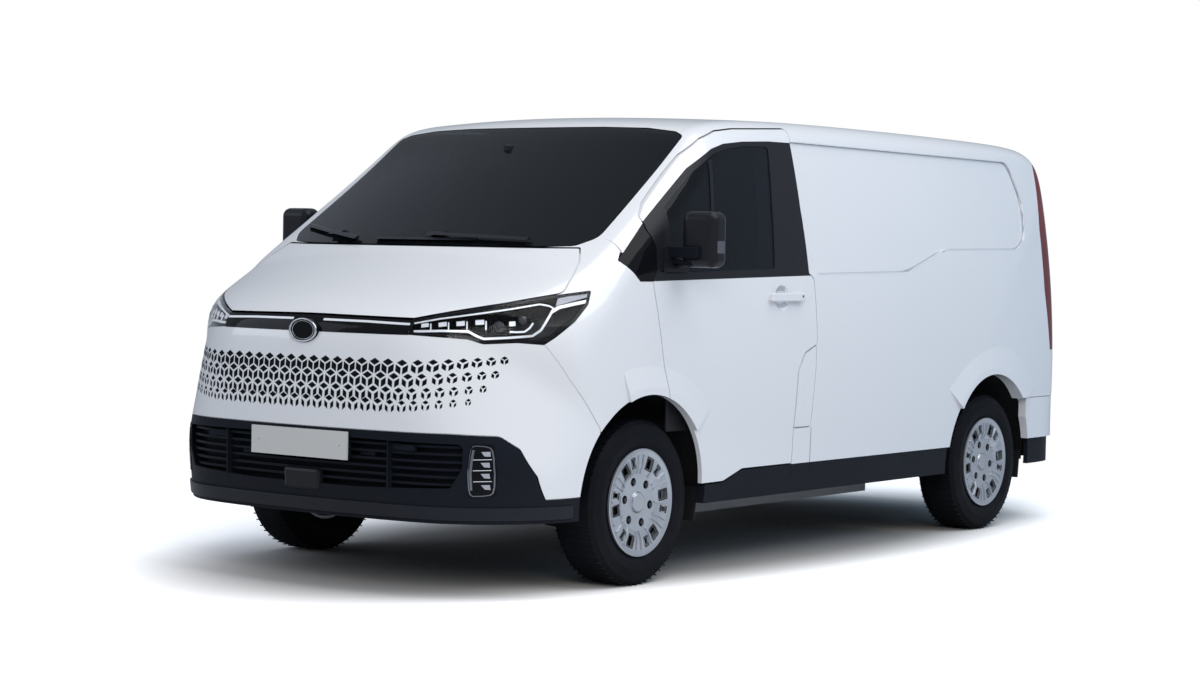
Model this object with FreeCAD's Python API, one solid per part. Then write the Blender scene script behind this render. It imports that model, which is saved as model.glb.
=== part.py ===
import FreeCAD, Part
import math
import os

V = FreeCAD.Vector

# Driving sizes in millimetres: origin on the ground under the middle of the van, front towards -Y
LENGTH = 4998.0
WHEELBASE = 3000.0
FRONT_OVERHANG = 1020.0
HALF_WIDTH = 1015.0
ROOF_Z = 1990.0
SILL_Z = 312.0
SILL_TOP_Z = 441.0
WAIST_Z = 1000.0
TUMBLEHOME_UP = 1.5e-4
TUMBLEHOME_DOWN = 6.7e-5

# Wheels and steering
TYRE_R = 343.0
TYRE_WIDTH = 215.0
WHEEL_OUT_X = 966.0
RIM_R = 203.0
RIM_DROP_R = 180.0
COVER_R = 222.0
CAP_R = 42.0
LUGS = 6
LUG_RING_R = 90.0
LUG_HOLE_R = 18.0
HUB_R = 32.0
ARCH_R = 420.0
ARCH_Z = 370.0
ARCH_SHIFT = -20.0
WELL_R = 452.0
FRONT_WELL_IN_X = 500.0
REAR_WELL_IN_X = 700.0
WELL_OUT_X = 975.0
LINER = 6.0
KINGPIN_LOW = (775.0, 200.0)
KINGPIN_TOP = (665.0, 800.0)

# Panel thicknesses, measured in from the outer skin
WALL = 45.0
ROOF_T = 30.0
HOOD_T = 28.0
HOOD_SKIN = 10.0
HOOD_LIP_T = 3.0
HOOD_LIP_Z = 17.0
HOOD_FRAME_IN = 50.0
FENDER_T = 14.0
FASCIA_T = 10.0
GLASS_T = 6.0
TRIM_T = 14.0
DOOR_SKIN = 20.0
DOOR_T = 80.0
REAR_DOOR_T = 50.0
LID_T = 15.0

# Gaps: moving panels, fixed seams and the shallow groove that shows along a fixed seam
MOVE_GAP = 6.0
FIT = 0.3
SEAM = 0.5
GROOVE = 4.0
GROOVE_DEPTH = 6.0

# Body lines across the width
ROOF_SEAM_X = 772.0
REAR_DOOR_X = 770.0
REAR_DOOR_LOW_Z = 665.0
REAR_DOOR_TOP_Z = 1885.0
DOOR_RISE = 8.0
LAMP_IN_X = 822.0
LOAD_FLOOR_Z = 560.0
DECK_Z = 564.0
DECK_HALF = 640.0
CAB_FLOOR_Z = 440.0
FLOOR_T = 40.0
PARTITION_Y = 1336.0
PARTITION_T = 30.0

FRONT_AXLE = FRONT_OVERHANG - LENGTH / 2
FIREWALL_Y = FRONT_AXLE - 330.0
FIREWALL_T = 25.0
REAR_AXLE = FRONT_AXLE + WHEELBASE
FAR = 2 * LENGTH

# Fan of half planes about an axis low in the body: each station cuts the skin in one smooth section
POLE = (FRONT_AXLE + WHEELBASE / 2, -500.0)
POLE_R = 300.0

# Stations of the centre profile: y from its axle, z, crown at 1 m off centre, extra sweep, corner radius
FRONT_STATIONS = [
    (-960, 150, 140, 60, 330), (-990, 330, 140, 70, 330), (-1008, 480, 150, 80, 330),
    (-1018, 640, 150, 80, 330), (-1014, 800, 150, 105, 415), (-1005, 930, 150, 135, 460),
    (-993, 1040, 150, 150, 500), (-962, 1100, 150, 160, 470), (-900, 1148, 145, 110, 370),
    (-785, 1205, 135, 55, 240), (-615, 1275, 130, 30, 170), (-437, 1352, 130, 5, 145),
    (-405, 1374, 128, 0, 122), (-200, 1500, 125, 0, 110),
]
UPPER_STATIONS = [
    (100, 297, 122, 0, 110), (300, 168, 112, 0, 110), (450, 72, 90, 0, 115), (520, 42, 72, 0, 115),
    (650, 22, 52, 0, 105), (850, 9, 38, 0, 98), (1300, 0, 28, 0, 92), (2200, 0, 25, 0, 90),
]
REAR_UPPER_STATIONS = [
    (200, 10, 25, 0, 88), (500, 23, 25, 5, 85), (620, 40, 28, 10, 85), (690, 72, 32, 15, 85),
    (718, 120, 36, 20, 90), (740, 210, 38, 20, 105),
]
REAR_STATIONS = [
    (778, 1400, 40, 20, 130), (812, 1000, 40, 20, 130), (835, 700, 40, 20, 130),
    (848, 400, 40, 20, 130), (850, 150, 40, 20, 130),
]


# Skin formula
def stations():
    rows = [(FRONT_AXLE + y, z, a, b, r) for y, z, a, b, r in FRONT_STATIONS]
    rows += [(FRONT_AXLE + y, ROOF_Z - drop, a, b, r) for y, drop, a, b, r in UPPER_STATIONS]
    rows += [(REAR_AXLE + y, ROOF_Z - drop, a, b, r) for y, drop, a, b, r in REAR_UPPER_STATIONS]
    rows += [(REAR_AXLE + y, z, a, b, r) for y, z, a, b, r in REAR_STATIONS]
    return rows


def side_x(y, z):
    """Half width of the body side at a point of its length and height."""
    z = max(z, 200.0)
    bow = TUMBLEHOME_UP if z > WAIST_Z else TUMBLEHOME_DOWN
    x = HALF_WIDTH - bow * (z - WAIST_Z) ** 2
    ahead = FRONT_AXLE - 200.0 - y
    behind = y - REAR_AXLE - 100.0
    if ahead > 0:
        x -= 100.0 * (ahead / 800.0) ** 2
    if behind > 0:
        x -= 40.0 * (behind / 800.0) ** 2
    return x


def inset_profile(inset):
    """Centre profile moved in by the inset along its own normal."""
    rows = stations()
    moved = []
    for i, (y, z, crown, sweep, radius) in enumerate(rows):
        before = rows[max(i - 1, 0)]
        after = rows[min(i + 1, len(rows) - 1)]
        ty, tz = after[0] - before[0], after[1] - before[1]
        size = math.hypot(ty, tz)
        moved.append((y + inset * tz / size, z - inset * ty / size, crown, sweep, max(radius - inset, 25.0)))
    return moved


def section(station, inset):
    """Half section in one plane of the fan, from low on the side round the corner to the middle."""
    y0, z0, crown, sweep, corner = station
    reach = math.hypot(y0 - POLE[0], z0 - POLE[1])
    uy, uz = (y0 - POLE[0]) / reach, (z0 - POLE[1]) / reach

    def over(x):
        return reach - crown * (x / 1000.0) ** 2 - sweep * (x / 1000.0) ** 6

    def side(r):
        return side_x(POLE[0] + uy * r, POLE[1] + uz * r) - inset

    def corner_point(in_over, in_side):
        r, x = reach, HALF_WIDTH
        for _ in range(60):
            x = side(r) - in_side
            r = over(x) - in_over
        return x, r

    points = []
    top = corner_point(corner, 0.0)[1]
    for k in range(8):
        r = POLE_R + (top - POLE_R) * k / 8
        points.append((side(r), r))
    for k in range(7):
        turn = math.radians(15 * k)
        points.append(corner_point(corner * (1 - math.sin(turn)), corner * (1 - math.cos(turn))))
    last = points[-1][0]
    for k in range(1, 7):
        x = last * (1 - k / 6)
        points.append((x, over(x)))
    return [V(x, POLE[0] + uy * r, POLE[1] + uz * r) for x, r in points]


ENVELOPES = {}


def envelope(inset):
    """Closed solid bounded by the skin moved in by the inset."""
    if inset in ENVELOPES:
        return ENVELOPES[inset]
    grid = []
    for station in inset_profile(inset):
        half = section(station, inset)
        grid.append(half + [V(-p.x, p.y, p.z) for p in reversed(half[:-1])])

    def knots(count):
        inner = count - 4
        return [4] + [1] * inner + [4], [k / (inner + 1) for k in range(inner + 2)]

    u_mults, u_knots = knots(len(grid))
    v_mults, v_knots = knots(len(grid[0]))
    skin = Part.BSplineSurface()
    skin.buildFromPolesMultsKnots(grid, u_mults, v_mults, u_knots, v_knots, False, False, 3, 3)
    left = skin.vIso(0.0).toShape()
    right = skin.vIso(1.0).toShape()
    faces = [skin.toShape(), Part.makeRuledSurface(left, right)]
    for u in (0.0, 1.0):
        cut = skin.uIso(u)
        ends = cut.value(0.0), cut.value(1.0)
        faces.append(Part.Face(Part.Wire([cut.toShape(), Part.makeLine(ends[1], ends[0])])))
    shell = Part.makeShell(faces)
    shell.sewShape()
    solid = Part.Solid(shell)
    if solid.Volume < 0:
        solid.reverse()
    ENVELOPES[inset] = solid
    return solid


# Outline helpers
def rounded(points, place):
    """Closed wire through points (u, v) or (u, v, radius), with tangent arcs at the rounded ones."""
    corners = []
    count = len(points)
    for i in range(count):
        here = points[i]
        radius = here[2] if len(here) > 2 else 0.0
        p = V(here[0], here[1], 0)
        if radius <= 0:
            corners.append((p, None, p))
            continue
        before = V(points[i - 1][0], points[i - 1][1], 0)
        after = V(points[(i + 1) % count][0], points[(i + 1) % count][1], 0)
        a = (before - p).normalize()
        b = (after - p).normalize()
        half = a.getAngle(b) / 2
        reach = radius / math.tan(half)
        middle = (a + b).normalize() * (radius / math.sin(half) - radius)
        corners.append((p + a * reach, p + middle, p + b * reach))
    edges = []
    for i in range(count):
        start, middle, end = corners[i]
        following = corners[(i + 1) % count][0]
        if middle is not None:
            edges.append(Part.Arc(place(start), place(middle), place(end)).toShape())
        if end.distanceToPoint(following) > 1e-4:
            edges.append(Part.makeLine(place(end), place(following)))
    return Part.Wire(edges)


def outline_face(points, place, grow):
    face = Part.Face(rounded(points, place))
    if grow:
        face = face.makeOffset2D(grow)
    return face


def side_prism(points, grow=0.0, x0=0.0, x1=1300.0, axle=None):
    """Side view outline, y from an axle, carried across the width from x0 to x1."""
    base = FRONT_AXLE if axle is None else axle
    face = outline_face(points, lambda p: V(x0, base + p.x, p.y), grow)
    return face.extrude(V(x1 - x0, 0, 0))


def front_prism(points, grow=0.0, y0=-FAR, y1=0.0):
    """Front view outline (x, z) carried along the length from y0 to y1."""
    face = outline_face(points, lambda p: V(p.x, y0, p.y), grow)
    return face.extrude(V(0, y1 - y0, 0))


def corner_prism(points, grow=0.0, end=0.0):
    """Outline seen along the diagonal of the left front corner, s along (x + y) and z, carried in."""
    ease = math.sqrt(0.5)
    start = 1600.0

    def place(p):
        return V(ease * p.x + ease * start, FRONT_AXLE + ease * p.x - ease * start, p.y)

    face = outline_face(points, place, grow)
    return face.extrude(V(-ease, ease, 0) * (start - end))


def box(x0, x1, y0, y1, z0, z1):
    return Part.makeBox(x1 - x0, y1 - y0, z1 - z0, V(x0, y0, z0))


def rod(x0, x1, y, z, radius):
    """Cylinder along X."""
    return Part.makeCylinder(radius, x1 - x0, V(x0, y, z), V(1, 0, 0))


def between(p, q, radius):
    """Cylinder from one point to another."""
    way = q - p
    return Part.makeCylinder(radius, way.Length, p, way)


def mirrored(shape):
    return shape.mirror(V(0, 0, 0), V(1, 0, 0))


def panel(prism, outer, inner):
    """Part of the shell between two insets that lies in the prism."""
    return envelope(outer).common(prism).cut(envelope(inner))


def groove(prism_of):
    """Cutter for a fixed seam: a fine gap through the wall and a wider groove in its outer layer."""
    return prism_of(SEAM).fuse(prism_of(GROOVE).cut(envelope(GROOVE_DEPTH)))


def solids_of(shapes, least=25000.0):
    """Compound of the shapes' real solids, without slivers."""
    return Part.makeCompound([s for shape in shapes for s in shape.Solids if s.Volume > least])


def symmetric(outline):
    """Closed outline from its left half, listed from the bottom middle up to the top middle."""
    right = [(-x,) + tuple(rest) for x, *rest in reversed(outline)]
    return [(x,) + tuple(rest) for x, *rest in outline] + right


PARTS = {}


def keep(name, shape):
    PARTS[name] = solids_of(shape if isinstance(shape, list) else [shape])


# Outlines of the front, in the front view
SCREEN = symmetric([(327, 1384), (638, 1386), (775, 1393, 60), (832, 1428, 30), (812, 1637),
                    (794, 1868, 20), (745, 1888, 60), (600, 1905), (381, 1911)])
HOOD_REAR_Z = 1377.0
HOOD = symmetric([(60, 1102), (497, 1096), (623, 1127), (767, 1161), (868, 1194, 40), (897, 1204, 12),
                  (877, 1262), (848, 1326, 60), (800, 1379, 12), (640, HOOD_REAR_Z), (327, HOOD_REAR_Z)])
STRIP_T = 20.0
LAMP_END = 860.0
LAMP_DEPTH = 110.0
STRIP = symmetric([(60, 1029), (499, 1029), (494, 1087), (60, 1094)])
BUMPER = symmetric([(600, 300), (1100, 300), (1100, 393), (941, 393), (928, 486, 60), (886, 594, 40),
                    (836, 643, 30), (690, 650)])
APERTURE = symmetric([(300, 425, 0), (700, 440, 20), (742, 520, 20), (742, 612, 20), (300, 618, 0)])
LED = [(755, 405, 8), (835, 415, 12), (843, 500), (830, 612, 12), (768, 615, 12), (758, 500)]

# Outlines of the left front corner, seen along its diagonal
LAMP = [(-296, 1087, 3), (-316, 1030, 3), (-85, 1017), (-25, 999, 10), (110, 1006), (216, 999, 6),
        (262, 1028, 20), (344, 1090), (403, 1157, 30), (420, 1214, 6), (226, 1188), (44, 1153), (-150, 1119)]

# Outlines of the side, y from the front axle
FASCIA_REAR = [(-343, 664), (-432, 774), (-510, 862), (-613, 1000)]
DOOR_FRONT = [(100, 720), (108, 782), (73, 919), (34, 1094), (4, 1225, 10), (4, 1262, 10), (32, 1300, 10),
              (36, 1390, 20), (16, 1460, 20), (28, 1515, 20), (90, 1568, 60)]
DOOR_OVER = [(392, 1783), (526, 1858), (640, 1896, 120), (763, 1911, 80), (1200, 1933, 15)]
DOOR_REAR = [(1178, 1876), (1182, 1581), (1208, 1290, 20), (1246, 1262, 20), (1258, 1123), (1267, 991)]
DOOR_TAIL = [(1260, 972, 5), (1163, 938, 60), (1113, 855, 60), (1096, 597), (1100, 446)]
DOOR_TAIL_PLAIN = [(1267, 864), (1246, 600), (1250, 446)]
DOOR_FOOT = [(703, 446, 60), (560, 400, 60), (300, 398)]
DOOR_LEFT = DOOR_FRONT + DOOR_OVER + DOOR_REAR + DOOR_TAIL + DOOR_FOOT
DOOR_RIGHT = DOOR_FRONT + DOOR_OVER + DOOR_REAR + DOOR_TAIL_PLAIN + DOOR_FOOT
FLAP = [(1262, 966, 6), (1174, 931, 52), (1123, 852, 52), (1106, 606, 6), (1239, 606, 6), (1261, 864)]
SURROUND = [(-80, 1250), (1400, 1284), (1400, 1873), (1000, 1870), (785, 1859, 90), (638, 1843, 90),
            (546, 1817, 60), (368, 1727), (24, 1497), (-200, 1338)]
WINDOW = [(100, 1286, 10), (924, 1308, 20), (948, 1575), (988, 1846, 20), (785, 1838, 90), (638, 1820, 90),
          (546, 1795, 60), (368, 1702), (158, 1560, 20)]
DIVIDER = [(420, 1275), (444, 1275), (528, 1812), (504, 1806)]
GLASS_IN = 4.0
TRIANGLE = [(-192, 1334, 12), (-94, 1251, 30), (-3, 1252), (25, 1299), (29, 1391, 20), (8, 1465, 15),
            (16, 1488)]
PILLAR_FOOT = [(-193, 1345), (-157, 1372), (-150, 1430)]
RECESS = [(1150, 1286), (2105, 1302, 90), (2475, 1411, 90), (3270, 1423, 60), (3362, 1484, 70),
          (3383, 1656), (3280, 1868, 70), (1150, 1876)]
TAIL_LAMP = [(3640, 900, 8), (3572, 1214), (3560, 1530), (3585, 1760), (3590, 1868, 8), (4400, 1868),
             (4400, 900)]


def arch_cut(axle, radius, x0, x1):
    return rod(x0, x1, axle + ARCH_SHIFT, ARCH_Z, radius)


def both_arches(radius, x0=600.0, x1=1200.0):
    return [arch_cut(axle, radius, x0, x1) for axle in (FRONT_AXLE, REAR_AXLE)]


FLARE_R = 568.0
FLARE_T = 14.0
FLARE_LIP = 30.0


def flare(axle, start, end):
    """Crescent over a wheel arch: a lip at the arch that slopes back to the skin; angles from straight up."""
    base = HALF_WIDTH - 6.0
    middle = V(0, axle + ARCH_SHIFT, ARCH_Z)
    points = [(base - 5, ARCH_R), (base + FLARE_T, ARCH_R), (base + FLARE_T, ARCH_R + FLARE_LIP),
              (base + 1, FLARE_R), (base - 5, FLARE_R)]
    face = Part.Face(Part.makePolygon([middle + V(x, 0, r) for x, r in points + points[:1]]))
    face.rotate(middle, V(1, 0, 0), -end)
    return face.revolve(middle, V(1, 0, 0), end - start)


PLATE_W, PLATE_H, PLATE_T = 520.0, 112.0, 8.0
PLATE_Y = -LENGTH / 2 + PLATE_T
PLATE_LOW_Z = 528.0
PLATE_HOLES = 440.0
PLATE_HOLE_R = 3.0
SLATS = 6
SLAT_LOW_Z = 452.0
SLAT_PITCH = 29.6


# Front panels
def hood():
    """Thin skin with a thicker frame set in from its edges, and a thin lip along the rear edge."""
    skin = panel(front_prism(HOOD, y1=FRONT_AXLE), 0.0, HOOD_SKIN)
    lip = box(-900, 900, -LENGTH, FRONT_AXLE, HOOD_REAR_Z - HOOD_LIP_Z, 1500).common(envelope(HOOD_LIP_T))
    frame = panel(front_prism(HOOD, -HOOD_FRAME_IN, y1=FRONT_AXLE), HOOD_SKIN - 1, HOOD_T)
    return skin.cut(lip).fuse(frame)


def windscreen():
    return panel(front_prism(SCREEN, y1=FRONT_AXLE + 800), 0.0, GLASS_T)


COWL_DEPTH = 60.0


def strip_between(start, end, half, low, high):
    """Band over the windscreen between two points of the front view."""
    way = math.atan2(end[1] - start[1], end[0] - start[0])
    sx, sz = -half * math.sin(way), half * math.cos(way)
    points = [(start[0] - sx, start[1] - sz), (end[0] - sx, end[1] - sz),
              (end[0] + sx, end[1] + sz), (start[0] + sx, start[1] + sz)]
    return panel(front_prism(points, y1=FRONT_AXLE + 800), -high, -low)


def wiper(pivot, middle, tip, end):
    """Blade lying on the glass, with the arm that comes over it from its pivot."""
    blade = strip_between(tip, end, 5.0, FIT, 14.0)
    arm = strip_between(pivot, middle, 6.0, 13.0, 24.0)
    saddle = strip_between((middle[0] - 40, middle[1]), (middle[0] + 40, middle[1]), 8.0, 3.0, 20.0)
    return blade.fuse([arm, saddle])


def cowl():
    """Tray under the rear edge of the hood and the foot of the windscreen."""
    room = box(-780, 780, FRONT_AXLE - 440, FRONT_AXLE - 290, HOOD_REAR_Z - 12, 1500)
    tray = panel(room, HOOD_SKIN + FIT, COWL_DEPTH)
    wipers = [wiper((-300, 1410), (-486, 1432), (-790, 1463), (-330, 1410)),
              wiper((580, 1416), (121, 1432), (-194, 1410), (330, 1410))]
    return [tray] + wipers


BADGE_W, BADGE_H, BADGE_T = 150.0, 98.0, 22.0
BADGE_Y = FRONT_AXLE - 1004.0
BADGE_Z = 1033.0


def badge(grow):
    """Bare oval badge over the middle of the nose strip."""
    oval = Part.Ellipse(V(0, 0, 0), BADGE_W / 2 + grow, BADGE_H / 2 + grow).toShape()
    face = Part.Face(Part.Wire([oval]))
    face.rotate(V(0, 0, 0), V(1, 0, 0), 90)
    face.translate(V(0, BADGE_Y, BADGE_Z))
    return face.extrude(V(0, BADGE_T, 0))


def lamp_cutters(grow):
    left = corner_prism(LAMP, grow)
    return [left, mirrored(left)]


def front_cutters():
    hood_gap = front_prism(HOOD, MOVE_GAP, y1=FRONT_AXLE)
    return [hood_gap] + lamp_cutters(FIT)


def fascia():
    low = BUMPER[2][1]
    outline = [(-1300, low), (-280, low)] + FASCIA_REAR + [(-613, 1094), (-1300, 1094)]
    shell = panel(side_prism(outline, x0=-1300, x1=1300), 0.0, FASCIA_T)
    cutters = front_cutters() + both_arches(ARCH_R) + [mirrored(c) for c in both_arches(ARCH_R)[:1]]
    cutters.append(badge(FIT))
    cutters.append(front_prism(STRIP, SEAM, y1=FRONT_AXLE - 500))
    cutters.append(groove(lambda g: front_prism(BUMPER, g, y1=FRONT_AXLE)))
    return shell.cut(cutters)


def fender():
    outline = FASCIA_REAR[::-1] + [(-300, 600), (200, 600), (200, 1250), (-94, 1250), (-192, 1334)]
    outline += PILLAR_FOOT[1:] + [(-150, 1700), (-1100, 1700), (-1100, 1094), (-613, 1094)]
    shell = panel(side_prism(outline, x0=300), 0.0, FENDER_T).fuse(flare(FRONT_AXLE, -20, 52))
    low = BUMPER[2][1]
    nose = [(-1300, low), (-280, low)] + FASCIA_REAR + [(-613, 1094), (-1300, 1094)]
    cutters = front_cutters()[:2] + both_arches(ARCH_R)[:1]
    cutters += [groove(lambda g: side_prism(nose, g, x0=-100)), side_prism(DOOR_LEFT, MOVE_GAP),
                side_prism(TRIANGLE, SEAM), front_prism(SCREEN, GROOVE, y1=FRONT_AXLE + 800),
                front_prism(STRIP, SEAM, y1=FRONT_AXLE - 500)]
    return shell.cut(cutters)


def front_bumper():
    low_edge = [(-1300, 296), (-250, 296), (-250, 700), (-1300, 700)]
    shell = panel(side_prism(low_edge, x0=-1300, x1=1300), 0.0, TRIM_T)
    shell = shell.common(front_prism(BUMPER, y1=FRONT_AXLE))
    cut = [front_prism(APERTURE, y1=FRONT_AXLE)] + both_arches(ARCH_R)[:1]
    cut += [mirrored(cut[-1])]
    led = front_prism(LED, FIT, y1=FRONT_AXLE)
    half, top = PLATE_W / 2 + FIT, PLATE_LOW_Z + PLATE_H + FIT
    room = box(-half, half, -LENGTH, PLATE_Y, PLATE_LOW_Z - FIT, top)
    shell = shell.cut(cut + [led, mirrored(led), room])
    bracket = box(-250, 250, PLATE_Y, PLATE_Y + 60, PLATE_LOW_Z + 6, PLATE_LOW_Z + PLATE_H - 6)
    return shell.fuse(bracket.cut(envelope(22.0 - FIT)))


def grille():
    """Backing wall behind the aperture with horizontal slats, and the slam panel under the hood."""
    zone = front_prism(APERTURE, 10, y1=FRONT_AXLE)
    back = panel(zone, 60.0, 68.0)
    rim = panel(zone, 22.0, 60.0).cut(front_prism(APERTURE, 3, y1=FRONT_AXLE))
    pieces = [back, rim]
    depth = panel(zone, 22.0, 61.0)
    for k in range(SLATS):
        z = SLAT_LOW_Z + SLAT_PITCH * k
        pieces.append(depth.common(box(-760, 760, -LENGTH, FRONT_AXLE, z - 5, z + 5)))
    body = pieces[0].fuse(pieces[1:])
    slam = panel(box(-480, 480, -LENGTH, FRONT_AXLE, 1040, 1130), STRIP_T + FIT, 60.0)
    hood_room = front_prism(HOOD, MOVE_GAP, y1=FRONT_AXLE).cut(envelope(HOOD_SKIN + FIT))
    return [body, slam.cut([hood_room, badge(FIT)] + lamp_cutters(FIT))]


def headlamps():
    """Lamp housings open towards the front, each with a clear lens."""
    prism = corner_prism(LAMP, -FIT, LAMP_END)
    cavity = corner_prism(LAMP, -12, LAMP_END)
    house = panel(prism, 5.0, LAMP_DEPTH).cut(panel(cavity, 0.0, 90.0))
    lens = panel(prism, 0.0, 4.7)
    return house, lens


def gloss_trim():
    strip = panel(front_prism(STRIP, y1=FRONT_AXLE - 500), -1.0, STRIP_T).cut(lamp_cutters(FIT))
    triangle = panel(side_prism(TRIANGLE), 0.0, 30.0)
    return [strip.fuse(badge(0.0)), triangle, mirrored(triangle)]


POST_STEP_Y = 1280.0
POST_FLANGE = 90.0
POST_TOP_Z = 1840.0
POST_DEPTH = 110.0


# Sides
def side_blank():
    outline = [(-150, 1345), (-150, 2200), (4300, 2200), (4300, SILL_TOP_Z + SEAM),
               (1050, SILL_TOP_Z + SEAM), (1050, 1345)]
    shell = panel(side_prism(outline, x0=300), 0.0, WALL).fuse(flare(REAR_AXLE, -52, 52))
    cutters = [front_prism(SCREEN, GROOVE, y1=FRONT_AXLE + 800), side_prism(TRIANGLE, SEAM),
               front_prism(HOOD, MOVE_GAP, y1=FRONT_AXLE)]
    cutters += both_arches(ARCH_R)
    cutters.append(groove(lambda g: box(-900, ROOF_SEAM_X + g, -LENGTH, LENGTH, 1700, 2300)))
    cutters.append(box(-900, REAR_DOOR_X + MOVE_GAP, REAR_AXLE + 500, LENGTH, 0, 2300))
    cutters.append(side_prism(TAIL_LAMP, FIT, x0=LAMP_IN_X - FIT))
    cutters.append(groove(lambda g: box(300, 1300, REAR_AXLE + 250, LENGTH, 0, 655 + g)))
    cutters.append(side_prism(RECESS, x0=700).cut(envelope(12.0)))
    return shell.cut(cutters)


def pillar_post():
    """B pillar post behind the door's rear edge, with the flange that the door shuts against."""
    rear = FRONT_AXLE + PARTITION_Y - FIT
    step = FRONT_AXLE + POST_STEP_Y
    low = CAB_FLOOR_Z + FIT
    post = panel(box(500, 1300, step, rear, low, POST_TOP_Z), WALL + FIT, POST_DEPTH)
    flange = panel(box(500, 1300, step - POST_FLANGE, step + 1, low, POST_TOP_Z), DOOR_T + FIT, POST_DEPTH)
    return post.fuse(flange)


def body_side_left(blank, post):
    lid_room = side_prism(FLAP, MOVE_GAP).cut(envelope(LID_T + FIT))
    shape = blank.cut([side_prism(DOOR_LEFT, MOVE_GAP), lid_room])
    step = FRONT_AXLE + POST_STEP_Y
    lug = panel(box(500, 1300, step, step + 40, 700, 1700), WALL - 5, WALL + 5)
    return shape.fuse([lug, post])


SLIDE_FRONT = 1268.0
SLIDE_REAR = 2330.0
SLIDE_LOW_Z, SLIDE_TOP_Z = 446.0, 1890.0


def sliding_outline():
    return [(SLIDE_FRONT, SLIDE_LOW_Z, 20), (SLIDE_REAR, SLIDE_LOW_Z, 60),
            (SLIDE_REAR, SLIDE_TOP_Z, 60), (SLIDE_FRONT - 60, SLIDE_TOP_Z, 20)]


def body_side_right(blank, post):
    door = groove(lambda g: side_prism(sliding_outline(), g))
    shape = blank.cut([side_prism(DOOR_RIGHT, MOVE_GAP), door])
    return [mirrored(shape), mirrored(post)]


def sliding_door(blank):
    front_edge = side_prism(DOOR_RIGHT, MOVE_GAP)
    shape = blank.common(side_prism(sliding_outline())).cut(front_edge)
    return mirrored(shape)


RACK_X, RACK_Y = 1400.0, 900.0
RACK_MID_Y = FRONT_AXLE + 1800.0
RACK_HOLE_R = 4.25


def roof():
    prism = box(-ROOF_SEAM_X, ROOF_SEAM_X, -LENGTH, LENGTH, 1500, 2300)
    shell = panel(prism, 0.0, ROOF_T)
    cutters = [front_prism(SCREEN, GROOVE, y1=FRONT_AXLE + 800),
               box(-900, 900, REAR_AXLE + 500, LENGTH, 0, REAR_DOOR_TOP_Z + MOVE_GAP + DOOR_RISE),
               box(-900, 900, -LENGTH, FRONT_AXLE + 100, 0, 2300)]
    for x in (-RACK_X / 2, RACK_X / 2):
        for y in (RACK_MID_Y - RACK_Y / 2, RACK_MID_Y + RACK_Y / 2):
            cutters.append(Part.makeCylinder(RACK_HOLE_R, 300, V(x, y, ROOF_Z - 200)))
    return shell.cut(cutters)


# Doors
DOOR_IN_X = 780.0


def door_shell(outline):
    """White door: a skin over a deeper inner part, with its window opening."""
    full = side_prism(outline)
    skin = panel(full, 0.0, DOOR_SKIN).fuse(flare(FRONT_AXLE, -20, 52).common(full))
    inner = panel(side_prism(outline, -28.0, x0=DOOR_IN_X), DOOR_SKIN - 2, DOOR_T)
    arch = arch_cut(FRONT_AXLE, ARCH_R, 600, 1200)
    inner = inner.cut([arch_cut(FRONT_AXLE, WELL_R + 35, 600, 1200),
                       box(0, 1300, FRONT_AXLE, REAR_AXLE, 0, CAB_FLOOR_Z + MOVE_GAP)])
    skin = skin.cut([arch, side_prism(SURROUND).cut(envelope(TRIM_T))])
    return skin.fuse(inner).cut([side_prism(WINDOW, -8.0), handle_bowl()]).fuse(handle())


def door_trim():
    band = side_prism(SURROUND).common(side_prism(DOOR_LEFT))
    divider = panel(side_prism(DIVIDER).common(side_prism(WINDOW, -8.0 - FIT)), 0.0, GLASS_IN - FIT)
    return panel(band, 0.0, TRIM_T - FIT).cut(side_prism(WINDOW)).fuse([divider, mirror_head()])


def door_glass():
    return panel(side_prism(WINDOW, -FIT), GLASS_IN, GLASS_IN + GLASS_T)


HANDLE_Y, HANDLE_Z = 980.0, 1185.0


def handle():
    """Pull handle bridging a shallow bowl."""
    skin = side_x(FRONT_AXLE + HANDLE_Y, HANDLE_Z)
    y, z = FRONT_AXLE + HANDLE_Y, HANDLE_Z
    bar = box(skin + 12, skin + 26, y - 120, y + 150, z - 19, z + 19)
    bar = bar.makeFillet(6.0, bar.Edges)
    feet = [box(skin - 8, skin + 18, y - 112, y - 92, z - 14, z + 14),
            box(skin - 8, skin + 18, y + 96, y + 146, z - 16, z + 16)]
    return bar.fuse(feet)


def handle_bowl():
    skin = side_x(FRONT_AXLE + HANDLE_Y, HANDLE_Z)
    ball = Part.makeSphere(90.0, V(skin + 66, FRONT_AXLE + HANDLE_Y - 5, HANDLE_Z))
    return ball


def mirror_head():
    """Two-part mirror head on its double arm."""
    y, z = FRONT_AXLE + 180.0, 1425.0
    head = box(1045, 1215, y - 60, y + 50, z - 115, z + 118)
    head = head.makeFillet(38.0, head.Edges)
    arm = box(1000, 1070, y - 45, y + 15, 1352, 1392)
    arm = arm.makeFillet(10.0, arm.Edges)
    arm_low = between(V(1004, y - 20, 1316), V(1075, y - 10, 1330), 12.0)
    foot = panel(side_prism([(60, 1290, 10), (250, 1290, 10), (230, 1400, 20), (80, 1400, 20)]), -12.0, 2.0)
    return foot.fuse([head, arm, arm_low])


# Rear
def rear_door(x0, x1):
    return panel(box(x0, x1, REAR_AXLE + 500, LENGTH, REAR_DOOR_LOW_Z, REAR_DOOR_TOP_Z), 0.0, REAR_DOOR_T)


def tail_lamp():
    return panel(side_prism(TAIL_LAMP, x0=LAMP_IN_X), 0.0, WALL + 15)


REAR_PLAN = [(1003, 355), (994, 550), (966, 716), (900, 815), (780, 905), (560, 955), (0, 969.5)]
REAR_PLATE_LOW_Z = 500.0


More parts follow.
